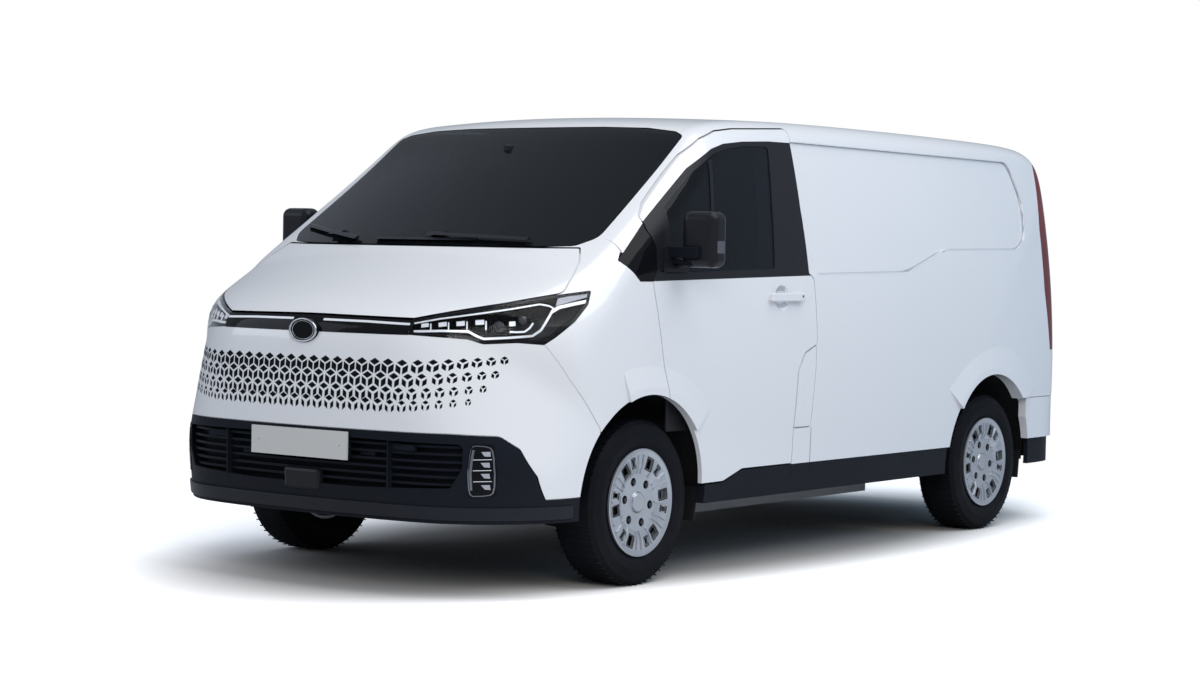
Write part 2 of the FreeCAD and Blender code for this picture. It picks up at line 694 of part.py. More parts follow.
def bumper_block(z0, z1, shrink):
    """Rear bumper slice with a bowed rear face, drawn in plan from the rear axle."""
    left = [V(x - shrink, REAR_AXLE + y - (shrink if k > 1 else 0), z0) for k, (x, y) in enumerate(REAR_PLAN)]
    points = left + [V(-p.x, p.y, z0) for p in reversed(left[:-1])]
    curve = Part.BSplineCurve()
    curve.interpolate(points)
    wire = Part.Wire([curve.toShape(), Part.makeLine(points[-1], points[0])])
    return Part.Face(wire).extrude(V(0, 0, z1 - z0))


def rear_bumper():
    block = bumper_block(445, 655 - SEAM, 0)
    core = bumper_block(430, 655 - SEAM - 12, WALL - 5)
    core.translate(V(0, -20, 0))
    hull = block.cut([core] + both_arches(ARCH_R + 0.0) + [mirrored(c) for c in both_arches(ARCH_R)])
    return hull.cut([box(-880, 880, REAR_AXLE, REAR_AXLE + 700, 400, 700), envelope(WALL)])


def lower_cladding():
    outline = [(300, SILL_Z), (3300, SILL_Z), (3300, SILL_TOP_Z), (1085, SILL_TOP_Z), (703, 438, 60),
               (560, 392, 60), (300, 390)]
    sill = panel(side_prism(outline), 0.0, WALL).cut(both_arches(ARCH_R + 25))
    sill = sill.cut(side_prism(DOOR_LEFT, MOVE_GAP))
    rear = bumper_block(312, 445 - SEAM, 14).cut(bumper_block(300, 433, 39))
    rear = rear.cut(both_arches(ARCH_R + 25) + [mirrored(c) for c in both_arches(ARCH_R + 25)])
    rear = rear.cut([box(-880, 880, REAR_AXLE, RAIL_END_Y + MOVE_GAP, 300, 500),
                     box(-960, 960, REAR_AXLE, REAR_AXLE + 600, 300, 500)])
    return [sill, mirrored(sill), rear]


def plates():
    half = PLATE_W / 2
    front = box(-half, half, PLATE_Y - PLATE_T, PLATE_Y, PLATE_LOW_Z, PLATE_LOW_Z + PLATE_H)
    for x in (-PLATE_HOLES / 2, PLATE_HOLES / 2):
        middle = V(x, PLATE_Y - 2 * PLATE_T, PLATE_LOW_Z + PLATE_H / 2)
        front = front.cut(Part.makeCylinder(PLATE_HOLE_R, 3 * PLATE_T, middle, V(0, 1, 0)))
    rear = box(-half, half, LENGTH / 2 - PLATE_T, LENGTH / 2, REAR_PLATE_LOW_Z, REAR_PLATE_LOW_Z + PLATE_H)
    return [front, rear]


# Wheel wells, floor and cabin
def liner(axle, inner_x, depth):
    y, z = axle, ARCH_Z
    outer = rod(inner_x - LINER, WELL_OUT_X, y, z, WELL_R + LINER)
    outer = outer.cut([rod(inner_x, WELL_OUT_X + 5, y, z, WELL_R), box(0, 1200, y - 600, y + 600, -200, 330)])
    flap = box(765, WELL_OUT_X, y + 424, y + 436, 235, 380)
    link = box(765, WELL_OUT_X, y + 424, y + WELL_R + 2, 340, 380)
    flap = flap.fuse(link).common(envelope(WALL + FIT))
    low_edge = box(600, 1200, y - 600, y + 600, 0, SILL_TOP_Z + SEAM).cut(envelope(WALL + FIT))
    axle_room = box(600, 720, y - 75, y + 75, 200, 400)
    return outer.common(envelope(depth)).cut([low_edge, axle_room]).fuse(flap)


def wheel_liners():
    left = [liner(FRONT_AXLE, FRONT_WELL_IN_X, DOOR_SKIN + MOVE_GAP),
            liner(REAR_AXLE, REAR_WELL_IN_X, WALL + FIT)]
    return left + [mirrored(s) for s in left]


def wells(grow):
    left = [rod(FRONT_WELL_IN_X - LINER - grow, 1300, FRONT_AXLE, ARCH_Z, WELL_R + LINER + grow),
            rod(REAR_WELL_IN_X - LINER - grow, 1300, REAR_AXLE, ARCH_Z, WELL_R + LINER + grow)]
    return left + [mirrored(s) for s in left]


TOW_X, TOW_Y = 1120.0, 120.0
TOW_MID_Y = REAR_AXLE + 780.0
TOW_HOLE_R = 6.5
RAIL_Z = 430.0
RAIL_END_Y = REAR_AXLE + 860.0
SILL_LAP = 25.0


def floor():
    inside = envelope(WALL + FIT)
    wall, wall_end = FRONT_AXLE + PARTITION_Y, FRONT_AXLE + PARTITION_Y + PARTITION_T
    cab_low, load_low = CAB_FLOOR_Z - FLOOR_T, LOAD_FLOOR_Z - FLOOR_T
    cargo = box(-1100, 1100, wall, REAR_AXLE + 900, load_low, LOAD_FLOOR_Z)
    cab = box(-1100, 1100, FIREWALL_Y, wall_end, cab_low, CAB_FLOOR_Z)
    riser = box(-930, 930, wall, wall_end, CAB_FLOOR_Z - 1, LOAD_FLOOR_Z - 1)
    rails = [box(x - 35, x + 35, FRONT_AXLE - 800, wall + 200, 300, cab_low + 1) for x in (-380, 380)]
    rails += [box(x - 35, x + 35, wall + 20, RAIL_END_Y, RAIL_Z, load_low + 1) for x in (-560, 560)]
    lap = box(-760, 760, REAR_AXLE + 600, LENGTH, LOAD_FLOOR_Z - 1, REAR_DOOR_LOW_Z + SILL_LAP)
    sill = panel(lap, REAR_DOOR_T + FIT, 110.0)
    plate = box(-DECK_HALF, DECK_HALF, wall + 60, REAR_AXLE + 580, LOAD_FLOOR_Z - 1, DECK_Z)
    deck = cargo.fuse([cab, riser]).common(inside).fuse([sill, plate])
    behind = box(-760, 760, REAR_AXLE + 500, LENGTH, 500, 700).cut(envelope(REAR_DOOR_T + FIT))
    holes = []
    for x in (-TOW_X / 2, TOW_X / 2):
        for y in (TOW_MID_Y - TOW_Y / 2, TOW_MID_Y + TOW_Y / 2):
            holes.append(Part.makeCylinder(TOW_HOLE_R, 60, V(x, y, RAIL_Z - 10)))
    return deck.fuse(rails).cut(wells(FIT) + holes + [behind])


def bulkhead():
    inside = envelope(WALL + FIT)
    wall = FRONT_AXLE + PARTITION_Y
    rear = box(-1100, 1100, wall, wall + PARTITION_T, LOAD_FLOOR_Z, ROOF_Z - 20)
    front = box(-1100, 1100, FIREWALL_Y, FIREWALL_Y + FIREWALL_T, CAB_FLOOR_Z, 1500)
    lamp = corner_prism(LAMP, FIT, LAMP_END).cut(envelope(LAMP_DEPTH + FIT))
    front = front.common([envelope(COWL_DEPTH + FIT)]).cut(wells(FIT)).cut([lamp, mirrored(lamp)])
    return [rear.common(inside).common(envelope(ROOF_T + FIT)), front]


def dashboard():
    outline = [(-305, 780), (-305, 1250, 30), (-60, 1215, 60), (150, 1150, 60), (190, 1040, 40),
               (60, 930, 60), (40, 780, 40)]
    dash = side_prism(outline, x0=-880, x1=880)
    dash = dash.cut(wells(FIT))
    hub = V(400, FRONT_AXLE + 300, 1095)
    way = V(0, -0.85, 0.53).normalize() * -1
    ring = Part.makeTorus(185, 15, hub, way)
    spoke = box(-172, 172, -20, 20, -9, 9)
    spoke.Placement = FreeCAD.Placement(hub, FreeCAD.Rotation(V(0, 0, 1), way))
    stem = between(hub, hub - V(0, 170, -40), 32.0)
    return [dash, ring.fuse([spoke, stem]).cut(dash)]


def seat(x, width):
    y = FRONT_AXLE + 640
    base = box(x - width / 2 + 20, x + width / 2 - 20, y + 20, y + 440, CAB_FLOOR_Z, 640)
    cushion = box(x - width / 2, x + width / 2, y - 30, y + 480, 640, 760)
    rounded = [e for e in cushion.Edges if e.BoundBox.ZMin > 650 or e.BoundBox.ZLength > 50]
    cushion = cushion.makeFillet(35.0, rounded)
    back = box(-width / 2, width / 2, -55, 55, 0, 640)
    back = back.makeFillet(30.0, [e for e in back.Edges if e.BoundBox.ZLength > 50 or e.BoundBox.ZMin > 600])
    back.rotate(V(0, 0, 0), V(1, 0, 0), -12)
    back.translate(V(x, y + 470, 720))
    head = box(-130, 130, -45, 45, 0, 170)
    head = head.makeFillet(30.0, head.Edges)
    head.rotate(V(0, 0, 0), V(1, 0, 0), -12)
    head.translate(V(x, y + 470 + 136, 1345))
    return base.fuse([cushion, back, head])


def seats():
    driver = seat(430, 520)
    bench = seat(-620, 460)
    middle = seat(-130, 460)
    return [driver, bench.fuse(middle)]


def power_unit():
    battery = box(-640, 640, FRONT_AXLE + 620, REAR_AXLE - 640, 215, CAB_FLOOR_Z - FLOOR_T - FIT)
    battery = battery.cut([box(x - 36, x + 36, -LENGTH, LENGTH, 290, 420) for x in (-380, 380)])
    motor = box(-330, 330, FRONT_AXLE - 760, FRONT_AXLE - 345, 300, 780)
    return [battery, motor]


BALL_UP = 22.0
BALL_R = 20.0


def kingpin(side):
    """Low point of a steering axis and its direction."""
    low = V(side * KINGPIN_LOW[0], FRONT_AXLE, KINGPIN_LOW[1])
    top = V(side * KINGPIN_TOP[0], FRONT_AXLE, KINGPIN_TOP[1])
    return low, (top - low).normalize()


def running_gear():
    """Front crossmember with its control arms, and the rear axle on its trailing arms."""
    cross = box(-430, 430, FRONT_AXLE - 60, FRONT_AXLE + 160, 215, 270)
    for x in (-380, 380):
        cross = cross.fuse(box(x - 30, x + 30, FRONT_AXLE - 40, FRONT_AXLE + 140, 260, 300 - FIT))
    for side in (1, -1):
        low, way = kingpin(side)
        seat = low + way * (BALL_UP - FIT)
        tip = seat - way * 24
        for dy in (-30, 130):
            cross = cross.fuse(between(V(side * 400, FRONT_AXLE + dy, 240), tip, 14.0))
        cross = cross.fuse(Part.makeCylinder(BALL_R, 24, seat - way * 24, way))
    axle = rod(-740, 740, REAR_AXLE, TYRE_R, 45.0)
    for side in (1, -1):
        axle = axle.fuse(box(side * 560 - 35, side * 560 + 35, REAR_AXLE - 620, REAR_AXLE + 560, 372, 392))
        for y in (REAR_AXLE - 600, REAR_AXLE + 540):
            axle = axle.fuse(box(side * 560 - 30, side * 560 + 30, y - 30, y + 30, 380, 430 - FIT))
        inner, outer = sorted((side * 740, side * 900))
        axle = axle.fuse(rod(inner, outer, REAR_AXLE, TYRE_R, HUB_R))
        axle = axle.fuse(rod(min(side * 722, side * 745), max(side * 722, side * 745), REAR_AXLE, TYRE_R, 90))
    return [cross, axle]


def knuckle():
    """Hub carrier with its spindle, and the strut along the steering axis."""
    low, way = kingpin(1)
    reach = (KINGPIN_TOP[1] - KINGPIN_LOW[1]) / way.z
    hub_foot = V(730, FRONT_AXLE, TYRE_R)
    spindle = rod(722, 900, FRONT_AXLE, TYRE_R, HUB_R)
    carrier = rod(722, 745, FRONT_AXLE, TYRE_R, 85)
    lower = Part.makeCylinder(BALL_R, 130, low + way * BALL_UP, way)
    strut = Part.makeCylinder(24, reach - 190, low + way * 190, way)
    link = between(hub_foot + V(-6, 0, 70), low + way * 260, 26.0)
    return carrier.fuse([spindle, lower, strut, link])


def spun(profile, axle):
    """Solid turned about a wheel's axis from (x, r) points."""
    wire = Part.makePolygon([V(x, axle, TYRE_R + r) for x, r in profile + profile[:1]])
    return Part.Face(wire).revolve(V(0, axle, TYRE_R), V(1, 0, 0), 360)


def tyre(axle):
    x0, x1 = WHEEL_OUT_X - TYRE_WIDTH, WHEEL_OUT_X
    shoulder, bead = TYRE_R - 22, RIM_R + FIT
    profile = [(x0 + 26, bead), (x0 + 4, bead + 45), (x0, (bead + shoulder) / 2 + 14), (x0 + 8, shoulder),
               (x0 + 26, TYRE_R - 5), (x0 + 60, TYRE_R), (x1 - 60, TYRE_R), (x1 - 26, TYRE_R - 5),
               (x1 - 8, shoulder), (x1, (bead + shoulder) / 2 + 14), (x1 - 4, bead + 45), (x1 - 26, bead)]
    return spun(profile, axle)


def rim(axle):
    """Drop-centre rim with its disc, the wheel cover with slots, and the brake disc."""
    x0, x1 = WHEEL_OUT_X - TYRE_WIDTH, WHEEL_OUT_X
    face = x1 - 32
    barrel = [(x0 + 26, RIM_R), (x0 + 26, RIM_R - 12), (x0 + 60, RIM_DROP_R - 8), (face - 40, RIM_DROP_R - 8),
              (face - 24, HUB_R + 60), (face - 30, HUB_R + FIT), (face - 16, HUB_R + FIT),
              (face - 10, HUB_R + 62),
              (face - 18, RIM_DROP_R), (x1 - 26, RIM_R - 12), (x1 - 26, RIM_R)]
    cover = [(x1 - 14, 0), (x1 - 14, CAP_R - 6), (x1 - 18, CAP_R), (x1 - 24, CAP_R + 4), (x1 - 22, 118),
             (x1 - 10, 150), (x1 - 8, 200), (x1 - 3, COVER_R - 8), (x1 - 4, COVER_R), (x1 - 12, COVER_R),
             (x1 - 14, RIM_R + 3), (x1 - 27, RIM_R - FIT), (x1 - 27, RIM_R - 13), (x1 - 18, RIM_R - 17),
             (x1 - 18, 150), (x1 - 30, 118), (x1 - 32, 0)]
    shape = spun(barrel, axle).fuse(spun(cover, axle))
    return shape


def wheel_slots(axle):
    """Six holes over the wheel nuts, and six pairs of a wide and a narrow slot near the rim."""
    cutters = []
    for k in range(LUGS):
        turn = 360.0 * k / LUGS
        lug = rod(WHEEL_OUT_X - 40, WHEEL_OUT_X, axle, TYRE_R + LUG_RING_R, LUG_HOLE_R)
        wide = box(WHEEL_OUT_X - 40, WHEEL_OUT_X, axle - 18, axle + 18, TYRE_R + 144, TYRE_R + 187)
        narrow = box(WHEEL_OUT_X - 40, WHEEL_OUT_X, axle - 10, axle + 10, TYRE_R + 154, TYRE_R + 187)
        for cutter, start in ((lug, 40.0), (wide, 22.0), (narrow, 43.0)):
            cutter.rotate(V(0, axle, TYRE_R), V(1, 0, 0), -(start + turn))
            cutters.append(cutter)
    return cutters


# Assembly
def build():
    PARTS.clear()
    keep("hood", hood())
    keep("windscreen", windscreen())
    keep("cowl_wipers", cowl())
    keep("front_fascia", fascia())
    left_fender = fender()
    keep("fenders", [left_fender, mirrored(left_fender)])
    keep("front_bumper", front_bumper())
    keep("grille", grille())
    house, lens = headlamps()
    keep("headlamp_housings", [house, mirrored(house)])
    keep("headlamp_lenses", [lens, mirrored(lens)])
    keep("gloss_trim", gloss_trim())
    led = panel(front_prism(LED, y1=FRONT_AXLE), -2.0, 40.0)
    keep("corner_lamps", [led, mirrored(led)])
    keep("roof", roof())
    blank = side_blank()
    post = pillar_post()
    keep("body_side_left", body_side_left(blank, post))
    keep("body_side_right", body_side_right(blank, post))
    keep("sliding_door", sliding_door(blank))
    keep("flap", panel(side_prism(FLAP), 0.0, LID_T))
    keep("door_left", door_shell(DOOR_LEFT))
    keep("door_right", mirrored(door_shell(DOOR_RIGHT)))
    for node, shape in (("door_trim", door_trim()), ("door_glass", door_glass())):
        keep(node + "_left", shape)
        keep(node + "_right", mirrored(shape))
    keep("rear_door_left", rear_door(MOVE_GAP / 2, REAR_DOOR_X))
    keep("rear_door_right", rear_door(-REAR_DOOR_X, -MOVE_GAP / 2))
    lamp = tail_lamp()
    keep("tail_lamps", [lamp, mirrored(lamp)])
    keep("rear_bumper", rear_bumper())
    keep("lower_cladding", lower_cladding())
    keep("wheel_liners", wheel_liners())
    keep("floor", floor())
    keep("bulkhead", bulkhead())
    keep("dashboard", dashboard())
    keep("seats", seats())
    keep("power_unit", power_unit())
    keep("running_gear", running_gear())
    left_knuckle = knuckle()
    keep("knuckle_left", left_knuckle)
    keep("knuckle_right", mirrored(left_knuckle))
    for place, axle in (("front", FRONT_AXLE), ("rear", REAR_AXLE)):
        wheel = rim(axle).cut(wheel_slots(axle))
        rubber = tyre(axle)
        keep("tyre_" + place + "_left", rubber)
        keep("tyre_" + place + "_right", mirrored(rubber))
        keep("wheel_" + place + "_left", wheel)
        keep("wheel_" + place + "_right", mirrored(wheel))
    keep("plates", plates())


build()
os.makedirs("parts", exist_ok=True)
for node, shape in PARTS.items():
    shape.exportStep("parts/" + node + ".step")
    print(node, len(shape.Solids), round(shape.Volume / 1e6, 2), shape.isValid())
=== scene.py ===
import bpy
import bmesh
import math
from mathutils import Matrix, Vector
from mathutils.bvhtree import BVHTree


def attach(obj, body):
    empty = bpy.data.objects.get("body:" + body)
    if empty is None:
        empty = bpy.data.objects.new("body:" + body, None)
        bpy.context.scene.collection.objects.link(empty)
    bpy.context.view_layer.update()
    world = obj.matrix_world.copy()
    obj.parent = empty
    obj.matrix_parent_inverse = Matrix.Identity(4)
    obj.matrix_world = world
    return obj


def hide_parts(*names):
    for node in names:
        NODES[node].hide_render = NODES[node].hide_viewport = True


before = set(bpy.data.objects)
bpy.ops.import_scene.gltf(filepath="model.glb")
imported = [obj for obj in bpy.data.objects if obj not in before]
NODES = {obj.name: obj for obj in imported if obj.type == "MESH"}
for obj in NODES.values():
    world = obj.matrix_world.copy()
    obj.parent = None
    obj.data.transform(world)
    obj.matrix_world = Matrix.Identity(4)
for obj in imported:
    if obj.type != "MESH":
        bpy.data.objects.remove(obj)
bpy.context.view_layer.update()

# Sizes that the pieces share, in metres; y is often counted from the front axle, FA
AXLE_Y = {"front": -1.479, "rear": 1.521}
FA = AXLE_Y["front"]
WHEEL_Z = 0.343
WHEEL_OUT = 0.966
TYRE_R = 0.343
TYRE_W = 0.215

# The two sides by the sign of x, and each corner with the middle of its wheel's outer plane
SIDES = ((1, "left"), (-1, "right"))
CORNERS = [(end + "_" + name, side, Vector((side * WHEEL_OUT, y, WHEEL_Z)))
           for end, y in AXLE_Y.items() for side, name in SIDES]

# Ways from outside to the skin, and where a line starts before it is laid on the skin
INWARD_Y = (0, 1, 0)
OUTWARD_Y = (0, -1, 0)
AHEAD = -3.0
BESIDE = 1.3
BEHIND = 4.0
SEARCH_REACH = 3.0


# Shader nodes
FLOAT = "NodeSocketFloat"
COLOUR = "NodeSocketColor"
NOISE_SPAN = (0.3, 0.7)
DUST_TOP = 0.55
DUST_COLOUR = (0.30, 0.28, 0.25, 1)
DUST_SCALE = 9.0
DUST_DETAIL = 6.0
GRAIN_DETAIL = 2.0
SHADE_RATIO = 0.94
BUMP_STRENGTH = 0.6
COAT_ROUGH = 0.03
STREAK_SCALE = 3.0
STREAK_DETAIL = 4.0
STREAK_ROUGH = 0.004


def feed(tree, socket, value):
    """Sets the socket to a value, or links it to another node's output."""
    if isinstance(value, bpy.types.NodeSocket):
        tree.links.new(value, socket)
    else:
        socket.default_value = value


def fill_inputs(tree, node, values):
    for label, value in values.items():
        feed(tree, node.inputs[label], value)


def object_place(tree):
    return tree.nodes.new("ShaderNodeTexCoord").outputs["Object"]


def math_node(tree, operation, a, b):
    node = tree.nodes.new("ShaderNodeMath")
    node.operation = operation
    feed(tree, node.inputs[0], a)
    feed(tree, node.inputs[1], b)
    return node.outputs[0]


def vector_node(tree, operation, source):
    node = tree.nodes.new("ShaderNodeVectorMath")
    node.operation = operation
    tree.links.new(source, node.inputs[0])
    return node


def noise(tree, coordinate, scale, detail=3.0):
    node = tree.nodes.new("ShaderNodeTexNoise")
    fill_inputs(tree, node, {"Vector": coordinate, "Scale": scale, "Detail": detail})
    return node.outputs["Fac"]


def map_range(tree, value, span, limits, smooth=False):
    """Moves a value from its span to other limits, evenly or with soft ends."""
    node = tree.nodes.new("ShaderNodeMapRange")
    if smooth:
        node.interpolation_type = "SMOOTHSTEP"
    fill_inputs(tree, node, {"Value": value, "From Min": span[0], "From Max": span[1],
                             "To Min": limits[0], "To Max": limits[1]})
    return node.outputs[0]


def mix_colours(tree, factor, first, second):
    node = tree.nodes.new("ShaderNodeMix")
    node.data_type = "RGBA"
    for index, value in ((0, factor), (6, first), (7, second)):
        feed(tree, node.inputs[index], value)
    return node.outputs[2]


def show_mix(tree, output, factor, first, second):
    """Mixes two shaders and shows the mix through an output node of that kind."""
    mix = tree.nodes.new("ShaderNodeMixShader")
    for socket, value in zip(mix.inputs, (factor, first, second)):
        tree.links.new(value, socket)
    tree.links.new(mix.outputs[0], tree.nodes.new(output).inputs["Surface"])


def shader_group(name, inputs, outputs):
    group = bpy.data.node_groups.new(name, "ShaderNodeTree")
    for label, kind, value in inputs:
        socket = group.interface.new_socket(label, in_out="INPUT", socket_type=kind)
        socket.default_value = value
    for label, kind in outputs:
        group.interface.new_socket(label, in_out="OUTPUT", socket_type=kind)
    return group, group.nodes.new("NodeGroupInput"), group.nodes.new("NodeGroupOutput")


def make_finish_group():
    """Slow colour drift, fine grain and road dust low on the van."""
    group, start, end = shader_group(
        "van_finish",
        [("Colour", COLOUR, (1, 1, 1, 1)), ("Shade", COLOUR, (1, 1, 1, 1)), ("Drift Scale", FLOAT, 1.5),
         ("Grain Scale", FLOAT, 300.0), ("Rough Low", FLOAT, 0.3), ("Rough High", FLOAT, 0.4),
         ("Dust", FLOAT, 0.1)],
        [("Colour", COLOUR), ("Roughness", FLOAT), ("Height", FLOAT)])
    place = object_place(group)
    drift = map_range(group, noise(group, place, start.outputs["Drift Scale"]), NOISE_SPAN, (0.0, 1.0))
    tone = mix_colours(group, drift, start.outputs["Colour"], start.outputs["Shade"])
    split = group.nodes.new("ShaderNodeSeparateXYZ")
    group.links.new(place, split.inputs[0])
    low = math_node(group, "SUBTRACT", DUST_TOP, split.outputs["Z"])
    low = math_node(group, "MULTIPLY", math_node(group, "MAXIMUM", low, 0.0), start.outputs["Dust"])
    patchy = math_node(group, "MULTIPLY", low, noise(group, place, DUST_SCALE, DUST_DETAIL))
    grain = noise(group, place, start.outputs["Grain Scale"], GRAIN_DETAIL)
    rough = map_range(group, grain, NOISE_SPAN, (start.outputs["Rough Low"], start.outputs["Rough High"]))
    group.links.new(mix_colours(group, patchy, tone, DUST_COLOUR), end.inputs["Colour"])
    group.links.new(math_node(group, "ADD", rough, patchy), end.inputs["Roughness"])
    group.links.new(grain, end.inputs["Height"])
    return group


FINISH = make_finish_group()


def new_material(name):
    """A material with nodes, its node tree and its shader."""
    material = bpy.data.materials.new(name)
    material.use_nodes = True
    return material, material.node_tree, material.node_tree.nodes["Principled BSDF"]


def finish(name, colour, shade=None, rough=(0.3, 0.4), grain=300.0, bump=0.0, dust=0.3, drift=1.5,
           metal=0.0, coat=0.0, sheen=0.0, painted_glow=0.0, specular=0.5):
    """Opaque finish with the shared drift, grain and dust."""
    material, tree, shader = new_material(name)
    node = tree.nodes.new("ShaderNodeGroup")
    node.node_tree = FINISH
    shade = shade or [c * SHADE_RATIO for c in colour]
    fill_inputs(tree, node, {
        "Colour": (*colour, 1), "Shade": (*shade, 1), "Drift Scale": drift, "Grain Scale": grain,
        "Rough Low": rough[0], "Rough High": rough[1], "Dust": dust})
    fill_inputs(tree, shader, {
        "Base Color": node.outputs["Colour"], "Roughness": node.outputs["Roughness"], "Metallic": metal,
        "Coat Weight": coat, "Coat Roughness": COAT_ROUGH, "Sheen Weight": sheen,
        "Specular IOR Level": specular})
    if bump:
        relief = tree.nodes.new("ShaderNodeBump")
        height = node.outputs["Height"]
        fill_inputs(tree, relief, {"Strength": BUMP_STRENGTH, "Distance": bump, "Height": height})
        tree.links.new(relief.outputs["Normal"], shader.inputs["Normal"])
    # Painted light: an emission in the finish's own colour, on parts that are not lit lamps
    if painted_glow:
        fill_inputs(tree, shader, {"Emission Color": (*colour, 1), "Emission Strength": painted_glow})
    return material


def glass(name, colour, clear, bend):
    """Glass with faint streaks in its polish."""
    material, tree, shader = new_material(name)
    streaks = noise(tree, object_place(tree), STREAK_SCALE, STREAK_DETAIL)
    fill_inputs(tree, shader, {
        "Base Color": (*colour, 1), "Transmission Weight": clear, "IOR": bend,
        "Roughness": map_range(tree, streaks, NOISE_SPAN, (0.0, STREAK_ROUGH))})
    return material


# Finishes of the body and its trim
PAINT = finish("white_paint", (0.80, 0.808, 0.832), (0.788, 0.80, 0.828), rough=(0.26, 0.32), grain=900.0,
               bump=0.00002, dust=0.12, coat=1.0)
# Painted shade: greyer paint in the hollow round each door handle
BOWL_SHADE = finish("shaded_handle_bowl", (0.57, 0.58, 0.64), grain=600.0, coat=0.5, dust=0.0)
# Painted shade: a grey band along the foot of the pressing on each load side
PAINTED_PRESS_SHADE = finish("painted_press_shade", (0.37, 0.40, 0.46), grain=600.0, coat=0.5, dust=0.0)
BLACK_PLASTIC = finish("grained_black_plastic", (0.010, 0.012, 0.018), (0.008, 0.010, 0.015),
                       rough=(0.40, 0.56), grain=420.0, bump=0.0004, dust=0.1, specular=0.09)
# Deep black trim, also used as painted shade behind the wheel slots
DEEP_BLACK_AND_SLOT_SHADE = finish("deep_black_plastic_and_painted_slot_shade", (0.005, 0.006, 0.009), rough=(0.55, 0.75), bump=0.0004,
                    specular=0.08)
GLOSS_BLACK = finish("piano_black", (0.005, 0.005, 0.007), rough=(0.05, 0.10), grain=700.0, dust=0.0,
                     coat=0.04, specular=0.12)
SATIN_BLACK = finish("satin_black_frame", (0.012, 0.013, 0.017), rough=(0.24, 0.34), grain=500.0,
                     bump=0.0001, dust=0.1, specular=0.22)
LIP = finish("satin_bumper_lip", (0.013, 0.015, 0.022), rough=(0.30, 0.42), grain=420.0, bump=0.0003,
             dust=0.1, specular=0.2)
CHROME = finish("bright_chrome", (0.78, 0.80, 0.83), rough=(0.08, 0.14), grain=500.0, metal=1.0, dust=0.1)
SATIN_METAL = finish("satin_silver_band", (0.30, 0.31, 0.34), rough=(0.22, 0.32), grain=500.0, metal=1.0,
                     dust=0.1)
PLATE = finish("blank_plate", (0.60, 0.60, 0.585), (0.585, 0.585, 0.57), rough=(0.4, 0.5), grain=600.0,
               bump=0.0001, dust=0.1, drift=12.0)
MIRROR = finish("mirror_glass", (0.55, 0.58, 0.62), rough=(0.01, 0.02), metal=1.0, dust=0.0)
TINTED = glass("tinted_glass", (0.07, 0.085, 0.105), 0.92, bend=1.22)
CLEAR = glass("clear_lens", (0.96, 0.97, 0.98), 1.0, bend=1.18)

# Finishes of the lamps and the bright trim; the grey and the silver finish glow in their own colour, painted
# light that stands in for light they reflect
GREY_WITH_PAINTED_GLOW = finish("grey_with_painted_glow", (0.30, 0.31, 0.36), rough=(0.15, 0.25), dust=0.1, coat=0.6, painted_glow=0.3)
SILVER_WITH_PAINTED_GLOW = finish("silver_with_painted_glow", (0.62, 0.64, 0.68), rough=(0.30, 0.40), dust=0.0, metal=0.5, painted_glow=0.45)
LAMP_CORE = finish("lamp_core", (0.05, 0.05, 0.06), rough=(0.20, 0.30), dust=0.0, coat=0.5)
LAMP_RED = finish("tail_lamp_red", (0.17, 0.006, 0.010), (0.12, 0.004, 0.008), rough=(0.10, 0.16), dust=0.1,
                  coat=0.3, specular=0.3)
SMOKED = finish("smoked_turn_lamp", (0.060, 0.060, 0.085), rough=(0.08, 0.14), coat=1.0, dust=0.1)

# Finishes of the wheels and the underside
SILVER = finish("silver_wheel_lacquer", (0.56, 0.59, 0.64), (0.50, 0.53, 0.58), rough=(0.24, 0.34),
                grain=800.0, bump=0.00003, metal=0.75, coat=0.5, drift=8.0)
# Dark wheel nuts, also used as painted shade round the wheel slots
NUT_BLACK_AND_SLOT_SHADE = finish("dark_wheel_nut_and_painted_slot_shade", (0.020, 0.021, 0.026), rough=(0.20, 0.32), grain=400.0, metal=0.4)
RUBBER = finish("tyre_rubber", (0.004, 0.005, 0.008), (0.007, 0.008, 0.011), rough=(0.5, 0.7), grain=350.0,
                bump=0.0005, dust=0.05, drift=6.0, specular=0.10)
LINER = finish("pressed_liner", (0.006, 0.006, 0.007), rough=(0.8, 0.95), grain=220.0, bump=0.0008, dust=0.1)
UNDERBODY = finish("underbody_coating", (0.016, 0.017, 0.020), rough=(0.6, 0.8), grain=160.0, bump=0.0008,
                   dust=0.2, specular=0.2)
CASTING = finish("cast_alloy", (0.32, 0.33, 0.34), rough=(0.45, 0.6), grain=260.0, bump=0.0005, metal=0.8,
                 dust=0.6)

# Finishes of the cab
CAB_LINING = finish("dark_cab_lining", (0.020, 0.021, 0.024), rough=(0.6, 0.75), grain=240.0, bump=0.0002)
DASH = finish("soft_dash", (0.028, 0.029, 0.032), rough=(0.55, 0.7), grain=520.0, bump=0.0005)
FABRIC = finish("woven_seat_cloth", (0.030, 0.031, 0.035), (0.045, 0.046, 0.050), rough=(0.85, 0.95),
                grain=900.0, bump=0.001, sheen=0.3, dust=0.0, drift=40.0)

